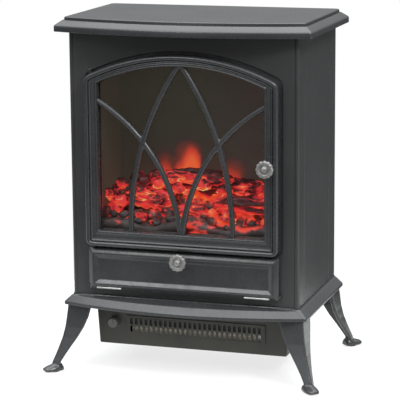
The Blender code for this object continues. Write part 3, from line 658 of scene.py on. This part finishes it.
def make_shell():
    """Front sheet with its two openings, a dark ring behind the door's gap that paints the shade in it, and the
    sides.
    """
    low, high = BODY
    hole = arched_outline(DOOR_HALF + 3.2, DOOR[0].z - 2.0, ARCH_RADIUS + 4.2, 10.0, 14.0)
    opening = arched_outline(DOOR_HALF - 10.5, DOOR[0].z + 13, ARCH_RADIUS - 12, 2.0, 6.0)
    rim = arched_outline(DOOR_HALF + 9.0, DOOR[0].z - 2.8, ARCH_RADIUS + 10.0, 10.0, 14.0)
    flap_hole = rectangle(-140, FLAP[0].z + 12, 140, FLAP[1].z - 8, 2.0)
    sheet = rectangle(-BODY_HALF + POST - 1.2, low.z, BODY_HALF - POST + 1.2, high.z)
    piece("front_sheet", plate([sheet, hole, flap_hole], BODY_FRONT + 0.2, BODY_FRONT + 2.0),
          "black_enamel", ["front_frame"], bevel=0.4)
    # painted shade: a dark ring seen through the gap round the door
    piece("door_gap_shade_ring", plate([rim, opening], BODY_FRONT + 2.2, BODY_FRONT + 3.2), "rubber")
    for side, name in ((-1, "left"), (1, "right")):
        piece(f"side_sheet_{name}", side_sheet(side), "black_enamel", [f"side_panel_{name}"])


def side_sheet(side):
    """One side, folded from sheet: post, field between two pressed lines, back fold."""
    low, high = BODY
    edge, skin, lip = BODY_HALF, 1.2, BODY_HALF - 14
    front = BODY_FRONT
    post = arc((edge - POST / 2, front + POST / 2), POST / 2, -170, 80, 22)
    outer = [(edge - POST - 0.4, front + 1.6)] + post + [(edge - 0.9, front + POST + 0.9)]
    for along in SIDE_LINES:
        y = front + along
        outer += rounded([(edge - 0.1, y - 2.6, 0.4), (edge, y - 1.6, 0.8), (edge - 1.0, y, 0.8),
                          (edge - 0.15, y + 1.6, 0.8), (edge - 0.15, y + 3, 0.5)], steps=3)
    outer += arc((edge - 3, BODY_BACK - 3 - skin), 3, 0, 90, 6) + [(lip, BODY_BACK - skin)]
    inner = [(lip, BODY_BACK - 2 * skin), (edge - 2 * skin, BODY_BACK - 2 * skin),
             (edge - 2 * skin, front + POST + 3), (edge - POST, front + POST + 3),
             (edge - POST, front + 3), (lip, front + 3), (lip, front + 2.3),
             (edge - POST - 0.4, front + 2.3)]
    plan = [(side * x, y) for x, y in outer + inner]
    return loft([level(plan, z) for z in (low.z, high.z)])


def make_back():
    """Back cover with louvre slots high and low, and eight screws."""
    low, high = reach("back_cover")
    loops = [rectangle(low.x + 0.5, low.z, high.x - 0.5, high.z, 2.0)]
    louvre_half, louvre_height = 35, 4
    for x in (-60, 60):
        for z in (*range(150, 200, 10), *range(450, 490, 10)):
            loops.append(rectangle(x - louvre_half, z, x + louvre_half, z + louvre_height, 1.99))
    loops.append(arc((140, 150), 8.3, 0, 360, 32)[:-1])      # the cord gland's hole
    piece("back_sheet", plate(loops, low.y, high.y), "black_enamel", ["back_cover"], bevel=0.3)
    socket_head = rounded([(3.6, 0, 0), (3.6, 1.0, 0.9), (2.0, 2.0, 0.6), (1.3, 2.0, 0.2),
                           (1.2, 1.1, 0)])
    heads = [turned(socket_head, (x, high.y, z), (0, 1, 0), 24)
             for x in (-170, 170) for z in (134, 262, 386, 511)]
    piece("back_screws", merged(*heads), "plated_steel")


def make_legs():
    """Angle-section legs sweeping out along each corner's diagonal to a blunt toe."""
    top = BASE[0].z - 0.3
    # height, share of the way out, width of the wings towards the middle and the back
    stations = ((top, 0, 38, 48), (84, 0.06, 35, 44), (68, 0.12, 30, 38), (52, 0.22, 24, 30),
                (38, 0.35, 19, 23), (26, 0.47, 15.5, 18), (16, 0.58, 13.5, 15),
                (9, 0.63, 12.5, 14), (3, 0.65, 12, 13.5))
    # share of the way out, half-width, height, rise of the sole
    toes = ((0.40, 8, 10, 0), (0.48, 9.5, 16, 0), (0.62, 10.5, 17, 0), (0.78, 11, 14.5, 0),
            (0.90, 10.5, 12, 0), (0.975, 9, 9.5, 0.2), (1.0, 6.5, 6.5, 0.8))
    sole, cut = 1.6, 0.30              # a toe's sections are ellipses, cut flat this far up
    thick = 6.5
    for end, start_y, row in ((-1, -BASE[0].y - BASE_BOW - 2, "front"),
                              (1, BASE[1].y - 2, "back")):
        for side, hand in ((-1, "left"), (1, "right")):
            name = f"leg_{row}_{hand}"
            low, high = reach(name)
            tip = Vector((max(abs(low.x), abs(high.x)), max(abs(low.y), abs(high.y))))
            corner = Vector((side * (BASE[1].x - 6), end * start_y))
            out = Vector((side * tip.x - corner.x, end * tip.y - corner.y))
            rings = []
            for z, share, front_wing, side_wing in stations:
                ridge = corner + share * out
                section = rounded([(0, 0, 3.0), (front_wing, 0, 2.5), (front_wing, thick, 2.5),
                                   (7, thick, 3.0), (thick, side_wing, 2.5), (0, side_wing, 2.5)],
                                  closed=True)
                rings.append([(ridge.x - side * u, ridge.y - end * v, z) for u, v in section])
            foot = []
            for share, half, height, rise in toes:
                outer = corner + share * out
                across = half * math.sqrt(0.5)
                foot.append([(outer.x - side * across * (1 - u), outer.y - end * across * (1 + u),
                              sole + rise + (max((v + 1) / 2, cut) - cut) * height)
                             for u, v in arc((0, 0), 1.0, 0, 360, 24)[:-1]])
            leg = piece(f"cast_{name}", merged(loft(rings), loft(foot)), "black_casting", [name])
            solidified(leg, 1.1, smooth=4)
            pad_low, pad_high = reach(f"foot_pad_{row}_{hand}")
            base = ((pad_low.x + pad_high.x) / 2, (pad_low.y + pad_high.y) / 2, 0)
            profile = rounded([(5, 0, 0), (7.6, 0, 0.6), (8, 2.2, 0.5), (7.2, 3, 0.4), (5, 3, 0)])
            piece(f"pad_{row}_{hand}", turned(profile, base, (0, 0, 1), 32), "rubber",
                  [f"foot_pad_{row}_{hand}"])


# ---- door ----
def make_door():
    """Cast door: a half-round roll round the rim, a bead inside it and one round the window."""
    back, front = DOOR[1].y, DOOR[0].y
    field = front + 2.6                # the flat between the two beads
    seat = PANE[0].y - 0.3             # the glass rests against this
    roll, rim_bead, window_bead = 3.8, 1.1, 1.2
    rim = [(0.6, back), (0.0, back - 0.8)]
    rim += [(roll + u, front + roll + v) for u, v in arc((0, 0), roll, 180, 360, 10)]
    rim += [(2 * roll + 0.4, field + 0.9), (2 * roll + 0.9, field + 0.5)]
    rim += [(9.3 + u, field + v) for u, v in arc((0, 0), rim_bead, 190, 350, 6)]
    rim += [(11.2, field + 0.4), (12.0, field)]
    window = [(4.4, field), (3.7, field + 0.4)]
    window += [(2.0 - u, field + 0.2 + v) for u, v in arc((0, 0), window_bead, 190, 350, 6)]
    window += [(0.2, field + 1.6), (0.0, field + 2.4), (0.0, seat), (REBATE, seat), (REBATE, back)]
    rings = []
    for inset, y in rim:
        plan = arched_outline(DOOR_HALF - inset, DOOR[0].z + inset, ARCH_RADIUS - inset,
                              max(10.0 - inset, 1.5), max(14.0 - inset, 3.0))
        rings.append(upright(plan, y))
    for out, y in window:
        plan = arched_outline(WINDOW_HALF + out, WINDOW_LOW - out, WINDOW_RADIUS + out, 1.5, 2.5)
        rings.append(upright(plan, y))
    piece("door_casting", loft(rings, closed=True), "black_casting", ["door_frame"], "door",
          sharp=50)


def make_lattice():
    """Four bars: two sweep down from the sides, two fan out from the arch's peak."""
    y = reach("door_lattice")[1].y - BAR_RADIUS
    hidden = 5                         # the ends run this far behind the casting
    outer = ((WINDOW_HALF + hidden, 425.0), (41, 338), (1.5, WINDOW_LOW - hidden))
    fan = ((0, 483), (50, 389), (79.5, WINDOW_LOW - hidden))
    section = [(BAR_RADIUS * u, BAR_RADIUS * v) for u, v in arc((0, 0), 1.0, 0, 360, 20)[:-1]]
    bars = []
    for side in (-1, 1):
        for points in (outer, fan):
            path = [Vector((side * x, y, z)) for x, z in arc_through(points)]
            bars.append(sweep(path, section))
    lattice = piece("lattice_bars", merged(*bars), "black_casting", ["door_lattice"], "door")
    solidified(lattice, 1.15, smooth=3)


def make_knobs():
    """Scalloped rosettes with a dished ring and a round boss in the middle."""
    profile = rounded([(1.0, 22.0, 0), (4.0, 21.6, 1.5), (5.0, 18.6, 1.0), (6.2, 17.2, 0.9),
                       (8.4, 19.4, 1.2), (12.2, 19.2, 1.0), (13.8, 16.0, 1.6), (12.4, 12.4, 1.5),
                       (7.0, 9.5, 2.0), (5.6, 5.5, 1.5), (5.6, 0.0, 0)])

    def scallops(angle, radius):
        """Twelve petals, growing from the ring outwards."""
        share = min(max((radius - 6.0) / 7.0, 0.0), 1.0)
        return 1.15 * share * (abs(math.cos(6 * angle)) - 0.85)

    for node, body, name in (("door_knob", "door", "door_rosette"),
                             ("flap_knob", "flap", "flap_rosette")):
        low, high = reach(node)
        base = ((low.x + high.x) / 2, high.y, (low.z + high.z) / 2)
        piece(name, turned(profile, base, (0, -1, 0), 96, scallops), "pewter", [node], body)


# ---- flap ----
def make_flap():
    """Drop-down flap: bevelled rim, narrow ridge and a sunk field; two strips under its lip."""
    low, high = FLAP
    back, front = high.y, low.y
    roll = (back - front) / 2          # the lower back edge is round, to turn on its pins
    sunk = front + 4.2
    profile = [(0.6, back), (0, back - 0.6), (0, back - 1.3), (0, back - 2.2), (0, back - 3.6)]
    profile += rounded([(0, back - 5.2, 0), (0, back - 6.6, 0.8), (7.4, front, 1.2),
                        (9.8, front, 1.0), (15.8, sunk, 1.2), (19.0, sunk, 0)])
    rings = []
    for inset, y in profile:
        ahead = max(y - (back - roll), 0.0)
        lift = max(inset, roll - math.sqrt(roll ** 2 - ahead ** 2))
        rings.append(upright(rectangle(low.x + inset, low.z + lift, high.x - inset,
                                       high.z - inset, max(2.5 - inset * 0.2, 0.6)), y))
    lugs = []
    for side in (-1, 1):
        near, far = sorted((side * 97, side * 137))
        lugs.append(block((near, front - 0.4, low.z + 2.0), (far, back - 4, low.z + 4.6), 1.0))
    piece("flap_casting", loft(rings), "black_casting", ["ash_flap"], "flap")
    piece("flap_lugs", merged(*lugs), "plated_steel", body="flap")


def hinge(node, low, high, pin_start, pin_end):
    """An eased leaf on the body and the pin that the door or the flap turns on."""
    pin = rod_shape(pin_start, pin_end, 1.45, 20, 0.4)
    piece(f"leaf_{node}", merged(block(low, high, 0.9), pin), "black_enamel", [node])


def make_hinges():
    """Leaves 2 mm thick, at the door's top and bottom and at the flap's two ends."""
    for name, up in (("door_hinge_top", 1), ("door_hinge_bottom", -1)):
        low, high = reach(name)
        x, y = (low.x + high.x) / 2, joint_place("door").y
        z, end = (high.z, low.z) if up > 0 else (low.z, high.z)
        hinge(name, (x - 3.2, y - 2.6, min(z - 2 * up, z)),
              (x + 3.2, BODY_FRONT + 0.1, max(z - 2 * up, z)), (x, y, z - up), (x, y, end))
    at = joint_place("flap")
    for side, name in ((-1, "flap_hinge_left"), (1, "flap_hinge_right")):
        low, high = reach(name)
        far, near = (low.x, high.x) if side < 0 else (high.x, low.x)
        hinge(name, (min(far, far - 2 * side), at.y - 2.6, at.z - 2.6),
              (max(far, far - 2 * side), BODY_FRONT + 0.1, at.z + 2.6),
              (far - side, at.y, at.z), (near, at.y, at.z))


# ---- fire ----
def bed_height(x, y):
    """Rolling ash bed in the shape of its CAD solid, with finer lumps."""
    swell = 7 * math.sin(x / 19.0 + 1.3) * math.cos((y - 5) / 15.0)
    lumps = 2.5 * noise.noise(Vector((x / 9.0, y / 9.0, 0.0)))
    return BED[0].z + 14 + (y + 95) * 0.22 + swell + 5 * math.cos(x / 60.0) + lumps


def make_bed():
    low, high = BED
    columns, rows = 150, 60
    shape = bmesh.new()
    grid = []
    for j in range(-1, rows + 1):      # row -1 hangs down as the bed's front edge
        y = low.y + 1 + (high.y - low.y - 2) * max(j, 0) / rows
        line = []
        for i in range(columns + 1):
            x = low.x + 1 + (high.x - low.x - 2) * i / columns
            line.append(shape.verts.new((x, y, bed_height(x, y)) if j >= 0
                                        else (x, y - 0.6, low.z + 0.5)))
        grid.append(line)
    for lower, upper in zip(grid, grid[1:]):
        for i in range(columns):
            shape.faces.new((lower[i], lower[i + 1], upper[i + 1], upper[i]))
    bed = piece("ash_bed", shape, "ember_resin", ["ember_bed"], sharp=180)
    shell = bed.modifiers.new("shell", "SOLIDIFY")
    shell.thickness = 2.0 * MM
    shell.offset = -1.0


def lump(centre, size, seed):
    """One irregular coal."""
    shape = bmesh.new()
    bmesh.ops.create_icosphere(shape, subdivisions=3, radius=1.0)
    offset = Vector((seed * 3.7, seed * 1.3, seed * 2.1))
    for vert in shape.verts:
        way = vert.co.normalized()
        ridge = abs(noise.noise(way * 1.6 + offset)) * 0.55
        grain = noise.noise(way * 5.0 + offset) * 0.10
        vert.co = way * (0.75 + ridge + grain)
    bmesh.ops.scale(shape, verts=shape.verts, vec=size)
    bmesh.ops.rotate(shape, verts=shape.verts,
                     matrix=Matrix.Rotation(seed * 1.9, 3, "Z") @ Matrix.Rotation(seed, 3, "X"))
    bmesh.ops.translate(shape, verts=shape.verts, vec=centre)
    return shape


def make_coals():
    """Coals heaped on the bed, smaller towards the glass."""
    rng = random.Random(7)
    low, high = BED
    rows = ((-86, 11, 7.5), (-70, 10, 9.5), (-30, 9, 11.0), (-12, 9, 11.0), (6, 8, 10.0))
    coals = []
    for row, (y, count, size) in enumerate(rows):
        for i in range(count):
            x = low.x + 14 + (high.x - low.x - 28) * (i + rng.uniform(0.1, 0.9)) / count
            spread = rng.uniform(0.75, 1.25)
            at = Vector((x, y + rng.uniform(-5, 5), 0))
            at.z = bed_height(at.x, at.y) + size * 0.35
            coals.append(lump(at, (size * spread * 1.3, size * 0.9, size * 0.8), row * 20 + i + 1))
    piece("coals", merged(*coals), "ember_resin", sharp=180)


CHUNKS = (                     # broken pieces round the logs: centre and half-sizes
    (-124, -62, 250, (20, 12, 15)), (-98, -52, 268, (18, 11, 12)), (-128, -40, 272, (13, 10, 12)),
    (-84, -44, 290, (13, 10, 9)), (-62, -58, 262, (17, 12, 13)), (-70, -34, 296, (12, 9, 10)),
    (-38, -66, 246, (14, 10, 10)), (-30, -42, 280, (14, 10, 10)), (-6, -68, 252, (13, 10, 12)),
    (10, -40, 286, (15, 10, 9)), (28, -74, 238, (14, 9, 11)), (44, -40, 280, (14, 10, 11)),
    (62, -72, 246, (15, 10, 13)), (84, -40, 274, (15, 10, 12)), (96, -76, 236, (14, 9, 11)),
    (118, -56, 258, (15, 11, 14)), (130, -44, 270, (11, 9, 12)), (-100, -78, 238, (13, 9, 10)),
    (-133, -78, 243, (10, 10, 13)), (-134, -58, 268, (10, 10, 13)), (-119, -46, 284, (14, 10, 10)),
    (-96, -40, 294, (14, 10, 10)), (-112, -72, 262, (14, 10, 13)), (-82, -66, 280, (13, 9, 10)),
    (-58, -50, 288, (13, 9, 10)), (-76, -82, 242, (13, 9, 10)), (-52, -84, 236, (12, 8, 9)))


def make_logs():
    """Moulded logs: split, knotted and ridged along their length, with broken ends."""
    for number, (name, bend) in enumerate((("log_back", 5), ("log_left", 4), ("log_right", 4),
                                           ("log_middle", 2), ("log_upper", 4))):
        low, high = reach(name)
        radius = min(high.z - low.z - bend, high.y - low.y) / 2
        start = Vector((low.x + 5, (low.y + high.y) / 2, low.z + radius))
        end = Vector((high.x - 5, (low.y + high.y) / 2, low.z + radius))
        steps, sides = 80, 48
        rings = []
        for i in range(steps + 1):
            t = i / steps
            centre = start.lerp(end, t) + Vector((0, 0, bend * math.sin(math.pi * t) - 1))
            cap = min(1.0, 0.35 + 9 * min(t, 1 - t)) * (1.0 if 0 < i < steps else 0.6)
            girth = 0.9 + 0.34 * noise.noise(Vector((centre.x / 24.0, number * 9.0, 0)))
            ring = []
            for k in range(sides):
                angle = 2 * math.pi * k / sides
                way = Vector((0, math.cos(angle), math.sin(angle)))
                seat = Vector((centre.x / 30.0, way.y * 2.4, way.z * 2.4 + number * 7.0))
                ridge = noise.noise(seat) * 0.34
                cleft = -0.5 * max(0.0, 0.16 - abs(noise.noise(seat * 1.6 + Vector((9, 0, 0)))))
                knot = 0.16 * noise.noise(Vector((centre.x / 9.0, number * 5.0, angle)))
                ragged = 7.0 * noise.noise(seat * 3.0) * max(0.0, 1 - 14 * min(t, 1 - t))
                point = centre + way * radius * cap * (girth + ridge + cleft + knot)
                ring.append(point + Vector((ragged, 0, 0)))
            rings.append(ring)
        piece(f"carved_{name}", loft(rings), "log_resin", [name], sharp=180)
    chunks = [lump((x, y, z), size, seed + 1) for seed, (x, y, z, size) in enumerate(CHUNKS)]
    piece("charred_chunks", merged(*chunks), "log_resin", sharp=180)


# ---- fan heater ----
def make_heater():
    """Tapered tray under the floor with an outlet, a dial hole and intake slots at the back."""
    low, high = HEATER
    taper, wall = 5.0, 1.5

    def section(inset, z):
        share = (high.z - z) / (high.z - low.z)
        half = high.x - taper * share - inset
        return level(rectangle(-half, low.y + inset, half, high.y - inset, 4.0 - inset), z)

    outside = rounded([(3.0, low.z, 0), (0.0, low.z, 2.2), (0.0, high.z, 0)])
    rings = [section(*step) for step in outside]
    rings += [section(wall, high.z), section(wall, low.z + wall)]
    tray = piece("heater_tray", loft(rings), "heater_black", ["heater_box"])
    dial_low, dial_high = reach("thermostat_knob")
    x, z = (dial_low.x + dial_high.x) / 2, (dial_low.z + dial_high.z) / 2
    holes = [block((GRILLE[0].x + 3, low.y - 10, GRILLE[0].z + 3),
                   (GRILLE[1].x - 3, low.y + 10, GRILLE[1].z - 3), 0.4),
             rod_shape((x, low.y - 10, z), (x, low.y + 10, z), 4)]
    for left in range(-90, 79, 24):    # intake slots
        holes.append(block((left, high.y - 10, 50), (left + 16, high.y + 10, 90), 1.5))
    carve(tray, *holes)
    make_grille()
    make_dial(dial_low.y, x, z)
    make_honeycomb()


def make_grille():
    """Two rows of upright slots with rounded ends in a thin plate."""
    low, high = GRILLE
    count, slot_half = 27, 2.3
    pitch = (high.x - low.x - 10) / count
    loops = [rectangle(low.x, low.z, high.x, high.z, 2.0)]
    for i in range(count):
        x = low.x + 5 + (i + 0.5) * pitch
        for bottom, top in ((55.5, 65.5), (67.5, 77.0)):
            loops.append(rectangle(x - slot_half, bottom, x + slot_half, top, 2.2))
    piece("grille_plate", plate(loops, low.y, high.y), "heater_black", ["outlet_grille"],
          bevel=0.25)


def make_dial(tip, x, z):
    """Control dial with a ribbed edge and a raised pointer; fine marks round it."""
    face = HEATER[0].y
    profile = rounded([(1.0, -3.0, 0), (3.0, -3.0, 0.2), (3.0, 0.6, 0.3), (8.3, 0.6, 0.5),
                       (7.9, 10.6, 0.8), (6.6, 12.4, 0.8), (4.6, 12.0, 0.6), (1.0, 11.8, 0)])

    def ribs(angle, radius):
        return 0.22 * math.cos(24 * angle) if radius > 7.0 else 0.0

    knob = turned(profile, (x, face, z), (0, -1, 0), 120, ribs)
    pointer = block((x - 0.9, tip, z - 0.5), (x + 0.9, tip + 2.0, z + 6.4), 0.4)
    piece("dial", merged(knob, pointer), "grey_plastic", ["thermostat_knob"], "thermostat_dial")
    marks = []
    for angle in range(-135, 136, 45):
        mark = block((-0.35, -0.25, 9.8), (0.35, 0.25, 12.2), 0.12)
        bmesh.ops.rotate(mark, verts=mark.verts,
                         matrix=Matrix.Rotation(math.radians(angle), 3, "Y"))
        bmesh.ops.translate(mark, verts=mark.verts, vec=(x, face, z))
        marks.append(mark)
    piece("dial_marks", merged(*marks), "grey_plastic")


def make_honeycomb():
    """Heating element, a thin honeycomb in a plain frame, and a dark strip over its top that stands in for shade.
    """
    low, high = reach("heating_element")
    pitch = 5.2
    loops = [rectangle(low.x, low.z, high.x, high.z, 1.0)]
    row_height = pitch * math.sqrt(0.75)
    for j in range(int((high.z - low.z - 6) / row_height)):
        for i in range(int((high.x - low.x - 8) / pitch)):
            centre = (low.x + 6 + pitch * (i + 0.5 * (j % 2)), low.z + 5 + row_height * j)
            loops.append(arc(centre, pitch * 0.46, 30, 390, 6)[:-1])
    # painted shade: a dark strip in front of the honeycomb's upper row, where there is only shade
    shade_strip = block((low.x - 6, GRILLE[1].y + 0.6, 66.6), (high.x + 4, GRILLE[1].y + 1.8, 80), 0.3)
    piece("upper_shade_strip", shade_strip, "rubber")
    piece("honeycomb", plate(loops, low.y, high.y), "element", ["heating_element"])


# ---- switches and small parts ----
def make_rockers():
    """Rocker caps with eased edges, each leaning as its CAD solid does."""
    for name, body in (("rocker_flame", "flame_switch"), ("rocker_low_heat", "low_heat_switch"),
                       ("rocker_high_heat", "high_heat_switch")):
        low, high = reach(name)
        middle = (low.x + high.x) / 2
        pivot = joint_place(body)
        lean = math.radians(8)
        front = rounded([(-5.0, 0.0, 3.0), (-6.4, 10.5, 1.0), (-1.0, 10.0, 1.0), (3.5, 4.0, 1.0),
                         (3.5, -4.0, 1.0), (-1.0, -10.0, 1.0), (-6.4, -10.5, 1.0)], closed=True)
        plan = [(u * math.cos(lean) - v * math.sin(lean),
                 u * math.sin(lean) + v * math.cos(lean)) for u, v in front]
        rings = [[(middle + x, pivot.y + y * scale, pivot.z + z * scale) for y, z in plan]
                 for x, scale in ((-6.9, 0.94), (-6.4, 1.0), (6.4, 1.0), (6.9, 0.94))]
        piece(f"cap_{name}", loft(rings), "black_plastic", [name], body, sharp=30)


def make_gland():
    low, high = reach("cord_gland")
    x, z = (low.x + high.x) / 2, (low.z + high.z) / 2
    face = BODY_BACK + 0.3
    profile = rounded([(7.9, low.y - face, 0), (7.9, 0, 0.2), (11, 0, 0.4), (11, 1.5, 0.8),
                       (8.6, 4.5, 1.0), (6.8, 6.0, 0.6), (4.0, 6.0, 0.5), (3.6, 2.0, 0)])
    piece("gland", turned(profile, (x, face, z), (0, 1, 0), 48), "black_plastic", ["cord_gland"])


# ---- stage ----
def make_stage():
    """Pale floor that fades into the white room; it ends where the stove would mirror it."""
    mesh = bpy.data.meshes.new("floor")
    corners = ((-1.4, -0.5), (0.5, -0.5), (3.2, -1.8), (3.2, 1.0), (1.1, 0.8), (0.9, 0.42),
               (-1.4, 0.42))
    mesh.from_pydata([(x, y, 0) for x, y in corners], [], [range(len(corners))])
    finish = Finish("floor", (0.25, 0.25, 0.25), 0.9, Emission_Color=(1, 1, 1, 1),
                    Emission_Strength=0.75, Specular_IOR_Level=0.0)
    mesh.materials.append(finish.material)
    placed("floor", mesh)


DOME_STRENGTH = 5.5
DOME = (                       # sine of the height above the floor, share of the strength
    (-0.05, 0.02), (0.0, 0.055), (0.3, 0.085), (0.6, 0.17), (0.8, 0.58), (0.92, 0.85))


def make_world():
    """A white room. The light itself comes from above: a soft dome that fades to the horizon."""
    world = bpy.data.worlds.new("studio")
    bpy.context.scene.world = world
    world.use_nodes = True
    tree = world.node_tree
    tree.nodes.clear()
    place = add_node(tree, "TexCoord").outputs["Generated"]
    up = add_node(tree, "SeparateXYZ", Vector=place).outputs["Z"]
    height = add_node(tree, "MapRange", Value=up, From_Min=-1.0).outputs["Result"]
    stops = [((sine + 1) / 2, (share * 0.97, share * 0.99, share)) for sine, share in DOME]
    dome = add_node(tree, "Background", Color=ramp(tree, height, stops), Strength=DOME_STRENGTH)
    seen = add_node(tree, "Background", Color=(1, 1, 1, 1))
    path = add_node(tree, "LightPath")
    mix = add_node(tree, "MixShader", Fac=path.outputs["Is Camera Ray"])
    tree.links.new(dome.outputs["Background"], mix.inputs[1])
    tree.links.new(seen.outputs["Background"], mix.inputs[2])
    add_node(tree, "OutputWorld", Surface=mix.outputs["Shader"])


def make_lights():
    for name, place, aim, size, power in (
            ("side", (1.6, -1.2, 2.1), 0.3, (0.55, 0.55), 36),
            ("front", (-0.9, -2.1, 2.1), 0.25, (0.8, 0.8), 15),
            ("fill", (-0.8, -3.2, 0.9), 0.3, (1.4, 1.0), 3.5)):
        light = bpy.data.lights.new(name, "AREA")
        light.shape = "RECTANGLE"
        light.size, light.size_y = size
        light.energy = power
        lamp = placed(name, light)
        lamp.location = place
        lamp.rotation_mode = "QUATERNION"
        lamp.rotation_quaternion = (Vector((0, 0, aim)) - Vector(place)).to_track_quat("-Z", "Y")


CAMERA_AZIMUTH = 17.645        # degrees from straight ahead, towards the stove's right
CAMERA_HEIGHT = 11.538         # degrees above the horizon
CAMERA_ROLL = -0.431
CAMERA_DISTANCE = 2.970        # metres from the point it looks at
CAMERA_TARGET = Vector((-0.00792, 0.0, 0.25419))
CAMERA_LENS = 171.96


def make_camera():
    azimuth, height = math.radians(CAMERA_AZIMUTH), math.radians(CAMERA_HEIGHT)
    back = Vector((math.sin(azimuth) * math.cos(height), -math.cos(azimuth) * math.cos(height),
                   math.sin(height)))
    data = bpy.data.cameras.new("camera")
    data.lens = CAMERA_LENS
    data.sensor_width = 36.0
    camera = placed("camera", data)
    camera.location = CAMERA_TARGET + back * CAMERA_DISTANCE
    turn = (-back).to_track_quat("-Z", "Y").to_matrix()
    roll = Matrix.Rotation(math.radians(CAMERA_ROLL), 3, "Z")
    camera.rotation_mode = "QUATERNION"
    camera.rotation_quaternion = (turn @ roll).to_quaternion()
    bpy.context.scene.camera = camera


bpy.context.scene.view_settings.view_transform = "Standard"
make_camera()
make_stage()
make_world()
make_lights()
dress_frame()
make_top_board()
make_base_moulding()
make_shell()
make_back()
make_legs()
make_door()
make_lattice()
make_knobs()
make_flap()
make_hinges()
make_bed()
make_coals()
make_logs()
make_heater()
make_rockers()
make_gland()
